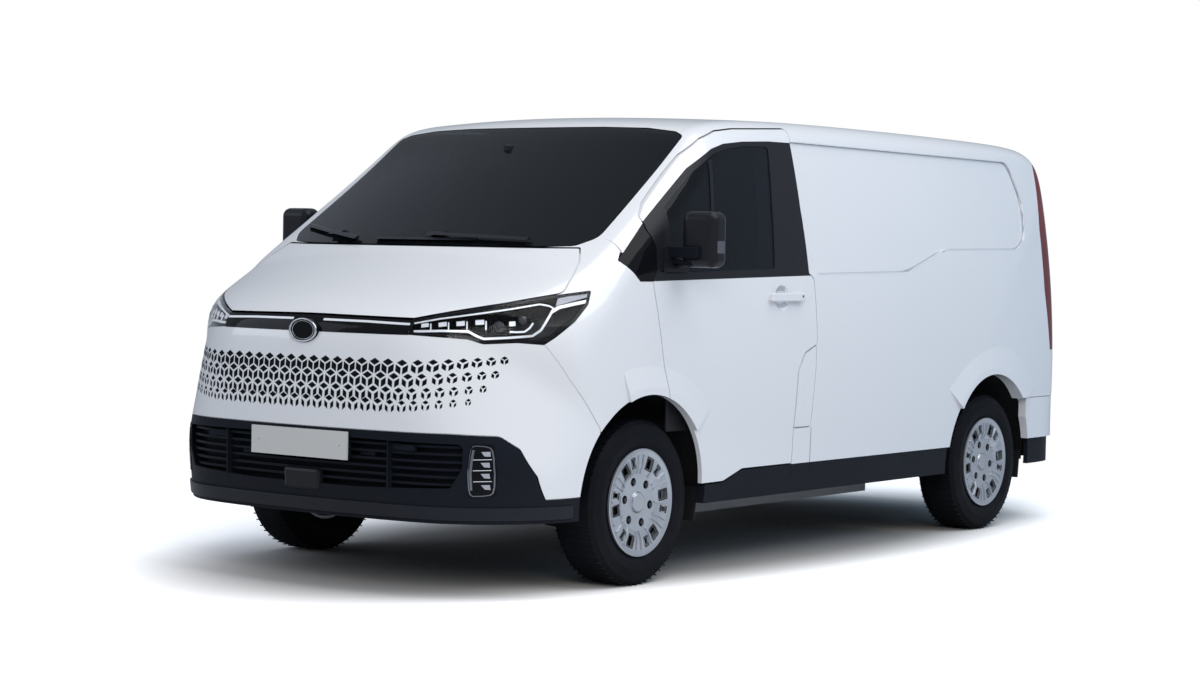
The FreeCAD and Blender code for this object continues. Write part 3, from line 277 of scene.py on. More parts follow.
NODE_FINISH = {
    "hood": PAINT, "front_fascia": PAINT, "fenders": PAINT, "roof": PAINT, "body_side_left": PAINT,
    "body_side_right": PAINT, "sliding_door": PAINT, "flap": PAINT, "door_left": PAINT, "door_right": PAINT,
    "rear_door_left": PAINT, "rear_door_right": PAINT, "rear_bumper": PAINT, "windscreen": TINTED,
    "door_glass_left": TINTED, "door_glass_right": TINTED, "headlamp_lenses": CLEAR,
    "headlamp_housings": GLOSS_BLACK, "corner_lamps": GLOSS_BLACK, "gloss_trim": GLOSS_BLACK,
    "door_trim_left": SATIN_BLACK, "door_trim_right": SATIN_BLACK, "front_bumper": BLACK_PLASTIC,
    "grille": BLACK_PLASTIC, "lower_cladding": BLACK_PLASTIC, "wheel_liners": LINER, "tail_lamps": LAMP_RED,
    "floor": UNDERBODY, "bulkhead": CAB_LINING, "dashboard": DASH, "seats": FABRIC, "power_unit": CASTING,
    "running_gear": UNDERBODY, "knuckle_left": UNDERBODY, "knuckle_right": UNDERBODY, "plates": PLATE,
    "cowl_wipers": SATIN_BLACK,
}
for corner, side, centre in CORNERS:
    NODE_FINISH["tyre_" + corner] = RUBBER
    NODE_FINISH["wheel_" + corner] = SILVER


def dress_nodes():
    for name, node in NODES.items():
        node.data.materials.clear()
        node.data.materials.append(NODE_FINISH[name])


# Places
def side_way(side):
    """Way from beside the van to its skin on that side."""
    return (-side, 0, 0)


def from_axle(side, x, y, z):
    """Place on one side, with y counted from the front axle."""
    return (side * x, FA + y, z)


def front_view(side, points):
    """Points (x, z) ahead of the van, to be laid on its front."""
    return [(side * x, AHEAD, z) for x, z in points]


def side_view(side, points):
    """Points (y, z) beside the van, y counted from the front axle."""
    return [from_axle(side, BESIDE, y, z) for y, z in points]


def rear_view(side, points):
    """Points (x, z) behind the van, to be laid on its rear."""
    return [(side * x, BEHIND, z) for x, z in points]


def tipped(degrees):
    """Turn about the x axis."""
    return Matrix.Rotation(math.radians(degrees), 4, "X")


# Mesh helpers
TURN_STEPS = 64


def add_object(name, data):
    thing = bpy.data.objects.new(name, data)
    bpy.context.scene.collection.objects.link(thing)
    return thing


def mesh_object(name, mesh, material):
    data = bpy.data.meshes.new(name)
    mesh.to_mesh(data)
    mesh.free()
    data.materials.append(material)
    return add_object(name, data)


def add_piece(name, mesh, body, material, smooth=False, bevel=0.0):
    """Closes the bmesh as a named piece that rides on a body."""
    bmesh.ops.remove_doubles(mesh, verts=mesh.verts, dist=1e-5)
    bmesh.ops.recalc_face_normals(mesh, faces=mesh.faces)
    piece = mesh_object(name, mesh, material)
    if smooth:
        for face in piece.data.polygons:
            face.use_smooth = True
    if bevel:
        edge = piece.modifiers.new("soft_edges", "BEVEL")
        edge.width = bevel
        edge.segments = 2
        edge.limit_method = "ANGLE"
    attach(piece, body)
    return piece


def add_block(mesh, size, centre, turn=None):
    """Box of that size at a place, turned if asked; gives its vertices."""
    made = bmesh.ops.create_cube(mesh, size=1.0)["verts"]
    bmesh.ops.scale(mesh, vec=size, verts=made)
    if turn is not None:
        bmesh.ops.transform(mesh, matrix=turn, verts=made)
    bmesh.ops.translate(mesh, vec=centre, verts=made)
    return made


def spin_ring(mesh, ring, edges, centre, axis):
    """Turns a closed ring fully about an axis through the centre."""
    bmesh.ops.spin(mesh, geom=ring + edges, cent=centre, axis=axis, angle=2 * math.pi, steps=TURN_STEPS,
                   use_merge=True, use_duplicate=False)


def spin_profile(mesh, points, centre):
    """Closed (x, r) profile turned about the x line through the centre."""
    ring = [mesh.verts.new((centre[0] + x, centre[1], centre[2] + r)) for x, r in points]
    edges = [mesh.edges.new((a, b)) for a, b in zip(ring, ring[1:] + ring[:1])]
    spin_ring(mesh, ring, edges, centre, (1, 0, 0))


SURFACES = {}


def surface(*names):
    """Search tree over the named CAD nodes, for laying trim on their skin."""
    if names not in SURFACES:
        mesh = bmesh.new()
        for name in names:
            mesh.from_mesh(NODES[name].data)
        SURFACES[names] = BVHTree.FromBMesh(mesh)
        mesh.free()
    return SURFACES[names]


def skin_at(name, start, way):
    """Where a ray from outside the van first meets the named node."""
    return surface(name).ray_cast(Vector(start), Vector(way))[0]


def lay_on(verts, names, way, lift):
    """Drops vertices along a way on to the nodes' skin; one beside its edge goes to the nearest point."""
    tree = surface(*names)
    way = Vector(way).normalized()
    starts = [vert.co - way * (vert.co.dot(way) + SEARCH_REACH) for vert in verts]
    hits = [tree.ray_cast(start, way)[0] for start in starts]
    depth = max(hit.dot(way) for hit in hits if hit is not None)
    for vert, start, hit in zip(verts, starts, hits):
        if hit is None:
            hit = tree.find_nearest(start + way * (depth - start.dot(way)))[0]
        vert.co = hit - way * lift


def thicken(mesh, made, names, way, lift, thick):
    """Lays a flat mesh on the skin and gives it its thickness inwards."""
    lay_on(made, names, way, lift)
    faces = list({face for vert in made for face in vert.link_faces})
    moved = bmesh.ops.extrude_face_region(mesh, geom=faces)["geom"]
    verts = [g for g in moved if isinstance(g, bmesh.types.BMVert)]
    bmesh.ops.translate(mesh, vec=way * thick, verts=verts)


def ribbon(mesh, points, width, names, way, lift, thick=0.003, step=0.012, closed=False):
    """Narrow band that follows a line over the skin of the named nodes."""
    line = [Vector(p) for p in points]
    if closed:
        line.append(line[0])
    stops = [line[0]]
    for a, b in zip(line, line[1:]):
        count = max(1, round((b - a).length / step))
        stops += [a.lerp(b, (k + 1) / count) for k in range(count)]
    way = Vector(way).normalized()
    last = len(stops) - 1
    made = bmesh.ops.create_grid(mesh, x_segments=last, y_segments=1, size=0.5)["verts"]
    for vert in made:
        k = round((vert.co.x + 0.5) * last)
        ahead = stops[(k + 1) % last if closed else min(k + 1, last)]
        behind = stops[(k - 1) % last if closed else max(k - 1, 0)]
        across = (ahead - behind).cross(way).normalized()
        vert.co = stops[k] + across * width * vert.co.y
    thicken(mesh, made, names, way, lift, thick)


def patch(mesh, corners, names, way, lift, thick=0.003, cells=6):
    """Four-cornered plate that follows the skin of the named nodes."""
    a, b, c, d = (Vector(p) for p in corners)
    made = bmesh.ops.create_grid(mesh, x_segments=cells, y_segments=cells, size=0.5)["verts"]
    for vert in made:
        u, v = vert.co.x + 0.5, vert.co.y + 0.5
        vert.co = a.lerp(b, u).lerp(d.lerp(c, u), v)
    thicken(mesh, made, names, Vector(way).normalized(), lift, thick)


def rounded(points, steps=6):
    """Open line through (y, z, radius) corners, each corner turned into a smooth bend."""
    line = []
    for k, (y, z, radius) in enumerate(points):
        here = Vector((y, z))
        if not radius or k in (0, len(points) - 1):
            line.append(here)
            continue
        ends = []
        for other in (points[k - 1], points[k + 1]):
            away = Vector(other[:2]) - here
            ends.append(here + away.normalized() * min(radius, away.length * 0.5))
        for step in range(steps + 1):
            t = step / steps
            line.append(ends[0].lerp(here, t).lerp(here.lerp(ends[1], t), t))
    return line


# Nose pattern: rows of cubes seen edge on, each of three rhombi, smaller towards the row's ends.
# A row is the height of its tops, its cubes' size and their places, in millimetres from the middle.
CUBE_HALF = 0.03075
CUBE_TALL = 0.01775
CUBE_LIFT = 0.0006
CUBE_THICK = 0.0014
CUBE_ROWS = [
    (0.922, 0.78, [0, 61.5, 123, 184.5, 246, 307.5, 369, 430.5, 492, 554, 610, 660, 705, 745, 782, 816]),
    (0.869, 0.75, [31, 92, 154, 215, 277, 338, 400, 461, 521, 575, 633, 680, 724, 764, 798]),
    (0.816, 0.70, [0, 61.5, 123, 184.5, 246, 307.5, 369, 428, 486, 542, 598, 646, 691, 735, 774]),
    (0.769, 0.65, [31, 92, 153, 214, 274, 334, 393, 449, 503, 553, 600, 648, 694, 739]),
]
ROW_MARGIN = 0.024
ROW_NARROWING = 0.08
FADE_LENGTH = 0.40
END_WIDTH = 0.30
END_HEIGHT = 0.50
END_DROP = 0.012
END_GAP_ACROSS = 0.0012
END_GAP_DOWN = 0.0022
RISE = 0.035
RISE_START = 0.49
RISE_LENGTH = 0.32
RISE_POWER = 1.3


def rhombus(mesh, centre, first, second):
    """Thin tile spanned by two half diagonals, seen from the front."""
    made = bmesh.ops.create_circle(mesh, cap_ends=True, segments=4, radius=1.0)["verts"]
    for vert in made:
        u, v = round(vert.co.x), round(vert.co.y)
        x = centre[0] + u * first[0] + v * second[0]
        z = centre[1] + u * first[1] + v * second[1]
        vert.co = Vector((x, AHEAD, z))
    thicken(mesh, made, ("front_fascia",), Vector(INWARD_Y), CUBE_LIFT, CUBE_THICK)


def add_cube(mesh, x, top, size, fade, narrowing):
    """Top rhombus of a cube and its two lower faces; fade goes from 1 to 0 near the row's end."""
    half = CUBE_HALF * (size * (END_WIDTH + (1.0 - END_WIDTH) * fade))
    tall = CUBE_TALL * size * (END_HEIGHT + (1.0 - END_HEIGHT) * fade)
    z = top + RISE * max(0.0, (abs(x) - RISE_START) / RISE_LENGTH) ** RISE_POWER - END_DROP * (1.0 - fade)
    reach = fade * CUBE_HALF * 0.5 + (1.0 - fade) * (half * 0.5 + END_GAP_ACROSS)
    drop = fade * CUBE_TALL * 1.5 + (1.0 - fade) * (tall * 1.5 + END_GAP_DOWN)
    rhombus(mesh, (x, z), (half, 0), (0, tall))
    for side in (-1, 1):
        across = -side * half * 0.5 * narrowing
        rhombus(mesh, (x + side * reach, z - drop), (across, tall * 0.5), (across, -tall * 1.5))


def make_perforation():
    mesh = bmesh.new()
    for row, (top, size, places) in enumerate(CUBE_ROWS):
        row_end = places[-1] / 1000 + ROW_MARGIN
        for place in places:
            for x in sorted({place / 1000, -place / 1000}):
                fade = min(1.0, (row_end - abs(x)) / FADE_LENGTH)
                add_cube(mesh, x, top, size, fade, 1.0 - ROW_NARROWING * row)
    add_piece("front_perforation", mesh, "van_body", DEEP_BLACK_AND_SLOT_SHADE)


# Nose strip: a bright line with a painted glow on each side of a bare oval badge of two rings, each with its
# wire's radius
STRIP_LINE = [(0.082, 1.078), (0.30, 1.0765), (0.494, 1.071)]
STRIP_LINE_WIDTH = 0.0085
BADGE_RINGS = ((0.0685, 0.0050), (0.0560, 0.0015))
BADGE_OVAL = (1.02, 1.0, 0.655)
BADGE_MIDDLE = (0, FA - 1.0045, 1.033)
WIRE_SEGMENTS = 12


def make_nose_strip():
    mesh = bmesh.new()
    for side, name in SIDES:
        line = front_view(side, STRIP_LINE)
        ribbon(mesh, line, STRIP_LINE_WIDTH, ("gloss_trim",), INWARD_Y, lift=0.0015)
    add_piece("nose_strip_line", mesh, "van_body", SILVER_WITH_PAINTED_GLOW)


def make_badge():
    mesh = bmesh.new()
    for radius, thick in BADGE_RINGS:
        ring = bmesh.ops.create_circle(mesh, segments=WIRE_SEGMENTS, radius=thick)["verts"]
        bmesh.ops.translate(mesh, vec=(radius, 0, 0), verts=ring)
        edges = list({edge for vert in ring for edge in vert.link_edges})
        spin_ring(mesh, ring, edges, (0, 0, 0), (0, 1, 0))
    bmesh.ops.scale(mesh, vec=BADGE_OVAL, verts=mesh.verts)
    bmesh.ops.translate(mesh, vec=BADGE_MIDDLE, verts=mesh.verts)
    add_piece("badge_ring", mesh, "van_body", CHROME, smooth=True)


# Headlamps: what shows behind the clear lens, as points (x, y, z) in millimetres from the front axle
LAMP_LOW = [(525, -934, 1043), (625, -884, 1048), (710, -824, 1048), (736, -807, 1031), (759, -789, 1020),
            (830, -720, 1026), (890, -650, 1034), (911, -622, 1057), (917, -598, 1089), (914, -559, 1129),
            (923, -525, 1146), (945, -462, 1159), (970, -400, 1171)]
LAMP_TOP = [(518, -923, 1074), (610, -875, 1094), (714, -783, 1115), (800, -680, 1136), (873, -584, 1157),
            (900, -555, 1150), (912, -545, 1140)]
LAMP_TURN = [(907, -512, 1180), (955, -380, 1206), (964, -384, 1189), (913, -536, 1151)]
LAMP_HOOK = [(830, -716, 1049), (850, -695, 1048), (869, -672, 1050), (880, -655, 1064), (888, -642, 1084)]
LAMP_POSTS = [(583, -899, 1074, 1049), (643, -863, 1081, 1052), (702, -822, 1086, 1055),
              (759, -775, 1089, 1055)]
LAMP_CELLS = [[(548, -915, 1072), (573, -900, 1077), (573, -900, 1062), (548, -915, 1058)],
              [(607, -881, 1078), (633, -863, 1083), (633, -863, 1066), (607, -881, 1062)],
              [(666, -843, 1084), (692, -824, 1088), (692, -824, 1070), (666, -843, 1067)],
              [(724, -798, 1091), (749, -775, 1094), (749, -775, 1076), (724, -798, 1073)],
              [(824, -712, 1088), (842, -695, 1090), (842, -695, 1072), (824, -712, 1070)]]
# Bulbs with a radius in metres; bands as a line, its width and its depth behind the lens in metres
LAMP_BULBS = ((800, -745, 1068, 0.022), (862, -672, 1094, 0.019))
LAMP_BANDS = ((LAMP_LOW, 0.009, 0.007), (LAMP_TOP, 0.006, 0.007), (LAMP_HOOK, 0.007, 0.012),
              (LAMP_LOW[9:], 0.013, 0.0075))
BAND_THICK = 0.004
POST_LEAN = (6, -8)
POST_WIDTH = 0.005
POST_DEPTH = 0.009
TURN_DEPTH = 0.006
CELL_DEPTH = 0.016
CELL_THICK = 0.002
BULB_DEPTH = 0.030


def lamp_sides(points):
    """The points in metres on the left and mirrored, each with the way into its lamp."""
    left = [from_axle(1, x / 1000, y / 1000, z / 1000) for x, y, z in points]
    return ((left, (-1, 1, 0)), ([(-x, y, z) for x, y, z in left], (1, 1, 0)))


def make_headlamps():
    lens = ("headlamp_lenses",)
    bands, turn_bars, cells, bulbs = (bmesh.new() for _ in range(4))
    for line, width, depth in LAMP_BANDS:
        for points, way in lamp_sides(line):
            ribbon(bands, points, width, lens, way, -depth, thick=BAND_THICK)
    for x, y, high, low in LAMP_POSTS:
        for points, way in lamp_sides([(x, y, high), (x + POST_LEAN[0], y + POST_LEAN[1], low)]):
            ribbon(bands, points, POST_WIDTH, lens, way, -POST_DEPTH, thick=BAND_THICK)
    for points, way in lamp_sides(LAMP_TURN):
        patch(turn_bars, points, lens, way, -TURN_DEPTH)
    for corners in LAMP_CELLS:
        for points, way in lamp_sides(corners):
            patch(cells, points, lens, way, -CELL_DEPTH, thick=CELL_THICK, cells=2)
    for x, y, z, radius in LAMP_BULBS:
        for points, way in lamp_sides([(x, y, z)]):
            spot = bmesh.ops.create_uvsphere(bulbs, u_segments=24, v_segments=14, radius=radius)["verts"]
            place = Vector(points[0]) + Vector(way).normalized() * BULB_DEPTH
            bmesh.ops.translate(bulbs, vec=place, verts=spot)
    add_piece("headlamp_bands", bands, "van_body", SILVER_WITH_PAINTED_GLOW)
    add_piece("headlamp_turn_bars", turn_bars, "van_body", GREY_WITH_PAINTED_GLOW)
    add_piece("headlamp_cells", cells, "van_body", SILVER_WITH_PAINTED_GLOW)
    add_piece("headlamp_bulbs", bulbs, "van_body", LAMP_CORE, smooth=True)


# Lamp clusters low in the bumper corners: frame lines, bars and reflectors, as points (x, z)
CLUSTER_FRAME = [
    (0.772, 0.412), (0.800, 0.413), (0.822, 0.417), (0.830, 0.425), (0.835, 0.450), (0.837, 0.500),
    (0.833, 0.560), (0.827, 0.590), (0.820, 0.601), (0.806, 0.606), (0.784, 0.608), (0.772, 0.605),
    (0.766, 0.595), (0.763, 0.560), (0.761, 0.500), (0.761, 0.440), (0.764, 0.420)]
CLUSTER_FRAME_WIDTH = 0.0035
CLUSTER_INNER = [(0.776, 0.592), (0.773, 0.560), (0.768, 0.500), (0.768, 0.435)]
CLUSTER_INNER_WIDTH = 0.007
CLUSTER_BARS = (0.556, 0.514, 0.471)
CLUSTER_BAR_X = (0.776, 0.828)
CLUSTER_BAR_DROP = 0.002
CLUSTER_BAR_WIDTH = 0.0025
REFLECTOR_HEIGHTS = (0.576, 0.534, 0.491, 0.447)
REFLECTOR_CORNERS = [(0.798, 0.009), (0.822, 0.010), (0.824, -0.009), (0.808, -0.008)]


def make_clusters():
    skin = ("corner_lamps",)
    frames, bars, reflectors = (bmesh.new() for _ in range(3))
    for side, name in SIDES:
        outline = front_view(side, CLUSTER_FRAME)
        ribbon(frames, outline, CLUSTER_FRAME_WIDTH, skin, INWARD_Y, lift=0.002, closed=True)
        ribbon(frames, front_view(side, CLUSTER_INNER), CLUSTER_INNER_WIDTH, skin, INWARD_Y, lift=0.002)
        for z in CLUSTER_BARS:
            bar = front_view(side, zip(CLUSTER_BAR_X, (z - CLUSTER_BAR_DROP, z)))
            ribbon(bars, bar, CLUSTER_BAR_WIDTH, skin, INWARD_Y, lift=0.0015)
        for middle in REFLECTOR_HEIGHTS:
            corners = front_view(side, [(x, middle + z) for x, z in REFLECTOR_CORNERS])
            patch(reflectors, corners, skin, INWARD_Y, lift=0.001, cells=2)
    add_piece("corner_lamp_frames", frames, "van_body", SATIN_METAL)
    add_piece("corner_lamp_bars", bars, "van_body", SILVER_WITH_PAINTED_GLOW)
    add_piece("corner_lamp_reflectors", reflectors, "van_body", GREY_WITH_PAINTED_GLOW)


# Grille: upright dividers, small louvres as (x from, x to, height), and the sensor's cover
DIVIDER_SIZE = (0.007, 0.030, 0.19)
DIVIDER_PLACE = (0.437, -0.966, 0.522)
LOUVRES = ((-0.36, -0.28, 0.530), (0.28, 0.36, 0.560), (0.44, 0.56, 0.590), (-0.56, -0.44, 0.590))
LOUVRE_SECTION = (0.020, 0.024)
LOUVRE_Y = -0.955
SENSOR_SIZE = (0.190, 0.040, 0.088)
SENSOR_PLACE = (0.004, -0.988, 0.439)
SENSOR_TIP = 5


def make_grille_detail():
    mesh = bmesh.new()
    for side in (-1, 1):
        add_block(mesh, DIVIDER_SIZE, from_axle(side, *DIVIDER_PLACE))
    for x0, x1, z in LOUVRES:
        add_block(mesh, (x1 - x0, *LOUVRE_SECTION), from_axle(1, (x0 + x1) / 2, LOUVRE_Y, z))
    add_piece("grille_dividers", mesh, "van_body", BLACK_PLASTIC, bevel=0.002)
    mesh = bmesh.new()
    add_block(mesh, SENSOR_SIZE, from_axle(1, *SENSOR_PLACE), tipped(SENSOR_TIP))
    add_piece("sensor_cover", mesh, "van_body", SATIN_BLACK, bevel=0.013)


# Lip along the bumper's foot: straight over the front, then round each corner through points (x, y)
LIP_HEIGHT = 0.340
LIP_WIDTH = 0.052
LIP_CORNER = ((0.925, -0.90), (0.96, -0.80), (0.985, -0.66), (1.0, -0.50))


def make_bumper_lip():
    mesh = bmesh.new()
    skin = ("front_bumper",)
    line = front_view(1, [(x / 100, LIP_HEIGHT) for x in range(-94, 95, 4)])
    ribbon(mesh, line, LIP_WIDTH, skin, INWARD_Y, lift=0.011, thick=0.013)
    for side, name in SIDES:
        line = [from_axle(side, x, y, LIP_HEIGHT) for x, y in LIP_CORNER]
        ribbon(mesh, line, LIP_WIDTH, skin, (-side * 0.8, 0.6, 0), lift=0.009, thick=0.011)
    add_piece("bumper_lip", mesh, "van_body", LIP, bevel=0.004)


# Load sides: painted shade along the foot of the pressing, a path as (y, z, bend radius), y counted from the
# front axle
PRESSING = [(1.300, 1.288, 0), (2.105, 1.302, 0.09), (2.475, 1.411, 0.09), (3.270, 1.423, 0.06),
            (3.362, 1.484, 0.07), (3.383, 1.656, 0.10), (3.280, 1.868, 0.07), (2.600, 1.871, 0),
            (1.240, 1.876, 0)]
PRESS_WIDTH = 0.0065


def make_painted_press_shade():
    mesh = bmesh.new()
    for side, names in ((1, ("body_side_left",)), (-1, ("body_side_right", "sliding_door"))):
        path = side_view(side, rounded(PRESSING))
        ribbon(mesh, path, PRESS_WIDTH, names, side_way(side), lift=0.0008, thick=0.0018, step=0.03)
    add_piece("load_side_painted_press_shade", mesh, "van_body", PAINTED_PRESS_SHADE)


# Painted shade in the hollow round each door handle: an arc above it and one below
BOWL_Y = 0.978
BOWL_Z = 1.185
BOWL_LENGTH = 0.041
BOWL_RISE = 0.014
BOWL_OFFSET = 0.024
BOWL_WIDTH = 0.020
BOWL_TURNS = [math.radians(turn) for turn in range(15, 180, 15)]


def make_handle_bowls():
    for side, name in SIDES:
        mesh = bmesh.new()
        door = "door_" + name
        for way in (1, -1):
            arc = [(BOWL_Y + BOWL_LENGTH * math.cos(turn),
                    BOWL_Z + way * (BOWL_OFFSET + BOWL_RISE * math.sin(turn))) for turn in BOWL_TURNS]
            ribbon(mesh, side_view(side, arc), BOWL_WIDTH, (door,), side_way(side), lift=0.0003, thick=0.001)
        add_piece("handle_bowl_shade_" + name, mesh, door, BOWL_SHADE)


# Seams at the foot of the B pillar as points (y, z); the right side has only the rear one
SEAM_SKIN = ("body_side_left", "body_side_right", "sliding_door", "lower_cladding", "fenders")
SEAM_FRONT = [(1.098, 0.602), (1.101, 0.441), (1.110, 0.387)]
SEAM_REAR = [(1.248, 0.598), (1.257, 0.443), (1.268, 0.377)]
SEAM_WIDTH = 0.0028


def make_lower_seams():
    mesh = bmesh.new()
    for side, line in ((1, SEAM_FRONT), (1, SEAM_REAR), (-1, SEAM_REAR)):
        ribbon(mesh, side_view(side, line), SEAM_WIDTH, SEAM_SKIN, side_way(side), lift=0.0004, thick=0.0012)
    add_piece("lower_seams", mesh, "van_body", DEEP_BLACK_AND_SLOT_SHADE)


# Mirrors: places are (x, y, z) with y from the front axle, seams are points (x, z), the lean is in radians
MIRROR_GLASSES = (((0.118, 0.003, 0.128), (1.130, 0.2315, 1.455)),
                  ((0.118, 0.003, 0.052), (1.130, 0.2315, 1.352)))
MIRROR_LAMP_SIZE = (0.004, 0.052, 0.050)
MIRROR_LAMP_PLACE = (1.2140, 0.172, 1.396)
ARM_SIZE = (0.150, 0.030, 0.046)
ARM_PLACE = (1.070, 0.120, 1.373)
ARM_FOOT_SIZE = (0.100, 0.024, 0.018)
ARM_FOOT_PLACE = (1.050, 0.130, 1.330)
ARM_FOOT_LEAN = 0.16
MIRROR_SEAMS = ([(1.052, 1.398), (1.150, 1.398), (1.155, 1.375), (1.150, 1.350), (1.085, 1.340)],
                [(1.052, 1.398), (1.052, 1.520)])
MIRROR_SEAM_WIDTH = 0.003


def make_mirror_detail(side, name):
    door = "door_" + name
    glasses, lamp, arm, seams = (bmesh.new() for _ in range(4))
    for size, place in MIRROR_GLASSES:
        add_block(glasses, size, from_axle(side, *place))
    add_piece("mirror_glass_" + name, glasses, door, MIRROR, bevel=0.001)
    add_block(lamp, MIRROR_LAMP_SIZE, from_axle(side, *MIRROR_LAMP_PLACE))
    add_piece("mirror_turn_lamp_" + name, lamp, door, SMOKED, bevel=0.001)
    add_block(arm, ARM_SIZE, from_axle(side, *ARM_PLACE))
    lean = Matrix.Rotation(side * ARM_FOOT_LEAN, 4, "Y")
    add_block(arm, ARM_FOOT_SIZE, from_axle(side, *ARM_FOOT_PLACE), lean)
    add_piece("mirror_arm_cover_" + name, arm, door, BLACK_PLASTIC, bevel=0.005)
    for line in MIRROR_SEAMS:
        skin = ("door_trim_" + name,)
        ribbon(seams, front_view(side, line), MIRROR_SEAM_WIDTH, skin, INWARD_Y, lift=0.0004, thick=0.001)
    add_piece("mirror_seams_" + name, seams, door, DEEP_BLACK_AND_SLOT_SHADE)


# Door lock behind each handle
LOCK_PLACE = (1.0365, 1.104, 1.188)
LOCK_RADIUS = 0.006
LOCK_DEPTH = 0.003


def make_door_lock(side, name):
    mesh = bmesh.new()
    spot = bmesh.ops.create_cone(mesh, cap_ends=True, segments=20, radius1=LOCK_RADIUS, radius2=LOCK_RADIUS,
                                 depth=LOCK_DEPTH)["verts"]
    bmesh.ops.rotate(mesh, matrix=Matrix.Rotation(math.pi / 2, 3, "Y"), verts=spot)
    bmesh.ops.translate(mesh, vec=from_axle(side, *LOCK_PLACE), verts=spot)
    add_piece("door_lock_" + name, mesh, "door_" + name, SATIN_METAL)


# Sliding door on the right: pull handle and guide rail, y from the van's middle
PULL_Y = -0.09
PULL_Z = 1.185
PULL_OUT = 0.020
PULL_SIZE = (0.016, 0.250, 0.036)
PULL_FOOT_Y = (-0.195, 0.015)
PULL_FOOT_OUT = 0.008
PULL_FOOT_SIZE = (0.030, 0.020, 0.028)
PULL_PROBE = (-2.0, -0.13, PULL_Z)
RAIL_Y = (0.875, 2.02)
RAIL_Z = 1.062
RAIL_WIDTH = 0.026


def make_sliding_door_detail():
    mesh = bmesh.new()
    skin_x = skin_at("sliding_door", PULL_PROBE, side_way(-1)).x
    add_block(mesh, PULL_SIZE, (skin_x - PULL_OUT, PULL_Y, PULL_Z))
    for y in PULL_FOOT_Y:
        add_block(mesh, PULL_FOOT_SIZE, (skin_x - PULL_FOOT_OUT, y, PULL_Z))
    add_piece("sliding_door_handle", mesh, "van_body", PAINT, bevel=0.005)
    rail = bmesh.new()
    line = [(-BESIDE, y, RAIL_Z) for y in RAIL_Y]
    ribbon(rail, line, RAIL_WIDTH, ("body_side_right",), side_way(-1), lift=0.0012, thick=0.002)
    add_piece("sliding_door_rail", rail, "van_body", SATIN_BLACK)


# Rear: hinges, door handle, high brake lamp, bumper reflectors and tail lamp bands;
# a rectangle is (x from, x to, top, foot)
HINGE_SIZE = (0.052, 0.014, 0.075)
HINGE_X = 0.755
HINGE_HEIGHTS = (0.80, 1.20, 1.66)
REAR_HANDLE_X = 0.075
REAR_HANDLE_Z = 1.06
REAR_HANDLE_SIZES = ((0.052, 0.030, 0.200), (0.030, 0.050, 0.130))
HIGH_BRAKE_LAMP = (-0.16, 0.16, 1.918, 1.901)
BUMPER_REFLECTOR = (0.60, 0.78, 0.440, 0.410)
REVERSING_LAMP = (0.865, 0.92, 1.60, 1.50)
TAIL_BAND_X = (0.86, 0.925)
TAIL_BAND_HEIGHTS = (1.30, 1.62)
TAIL_BAND_WIDTH = 0.006


def rear_patch(mesh, side, rectangle, names, lift, thick=0.003):
    x0, x1, top, foot = rectangle
    corners = rear_view(side, ((x0, top), (x1, top), (x1, foot), (x0, foot)))
    patch(mesh, corners, names, OUTWARD_Y, lift, thick)


def make_rear_hinges(side, name):
    mesh = bmesh.new()
    door = "rear_door_" + name
    for z in HINGE_HEIGHTS:
        seat = skin_at(door, (side * HINGE_X, BEHIND, z), OUTWARD_Y)
        add_block(mesh, HINGE_SIZE, (side * HINGE_X, seat.y, z))
    add_piece("rear_hinges_" + name, mesh, door, PAINT, bevel=0.004)


def make_rear_handle():
    mesh = bmesh.new()
    seat = skin_at("rear_door_left", (REAR_HANDLE_X, BEHIND, REAR_HANDLE_Z), OUTWARD_Y)
    for size in REAR_HANDLE_SIZES:
        add_block(mesh, size, (REAR_HANDLE_X, seat.y, REAR_HANDLE_Z))
    add_piece("rear_door_handle", mesh, "rear_door_left", BLACK_PLASTIC, bevel=0.005)


def make_rear_lamps():
    brake, reflectors, bands = (bmesh.new() for _ in range(3))
    rear_patch(brake, 1, HIGH_BRAKE_LAMP, ("roof",), lift=0.003)
    add_piece("high_brake_lamp", brake, "van_body", LAMP_RED)
    for side, name in SIDES:
        rear_patch(reflectors, side, BUMPER_REFLECTOR, ("rear_bumper", "lower_cladding"), lift=0.003)
    add_piece("bumper_reflectors", reflectors, "van_body", LAMP_RED)
    for side, name in SIDES:
        for z in TAIL_BAND_HEIGHTS:
            line = rear_view(side, [(x, z) for x in TAIL_BAND_X])
            ribbon(bands, line, TAIL_BAND_WIDTH, ("tail_lamps",), OUTWARD_Y, lift=0.0008, thick=0.0015)
        rear_patch(bands, side, REVERSING_LAMP, ("tail_lamps",), lift=0.0010, thick=0.0015)
    add_piece("tail_lamp_bands", bands, "van_body", GREY_WITH_PAINTED_GLOW)


# Tyres: rows of cross cuts in the tread
TREAD_ROWS = (-0.078, -0.040, 0.0, 0.040, 0.078)
TREAD_CUTS = 60
TREAD_CUT_SIZE = (0.024, 0.0030, 0.004)
TREAD_CUT_DEPTH = 0.0016


def make_tread_cuts(corner, side, centre):
    mesh = bmesh.new()
    for k in range(TREAD_CUTS):
        turn = Matrix.Rotation(2 * math.pi * k / TREAD_CUTS, 4, "X")
        for across in TREAD_ROWS:
            made = add_block(mesh, TREAD_CUT_SIZE, (across, 0, TYRE_R - TREAD_CUT_DEPTH))
            bmesh.ops.transform(mesh, matrix=turn, verts=made)
    middle = (side * (WHEEL_OUT - TYRE_W / 2), centre.y, centre.z)
    bmesh.ops.translate(mesh, vec=middle, verts=mesh.verts)
    add_piece("tread_cuts_" + corner, mesh, "wheel_" + corner, DEEP_BLACK_AND_SLOT_SHADE)


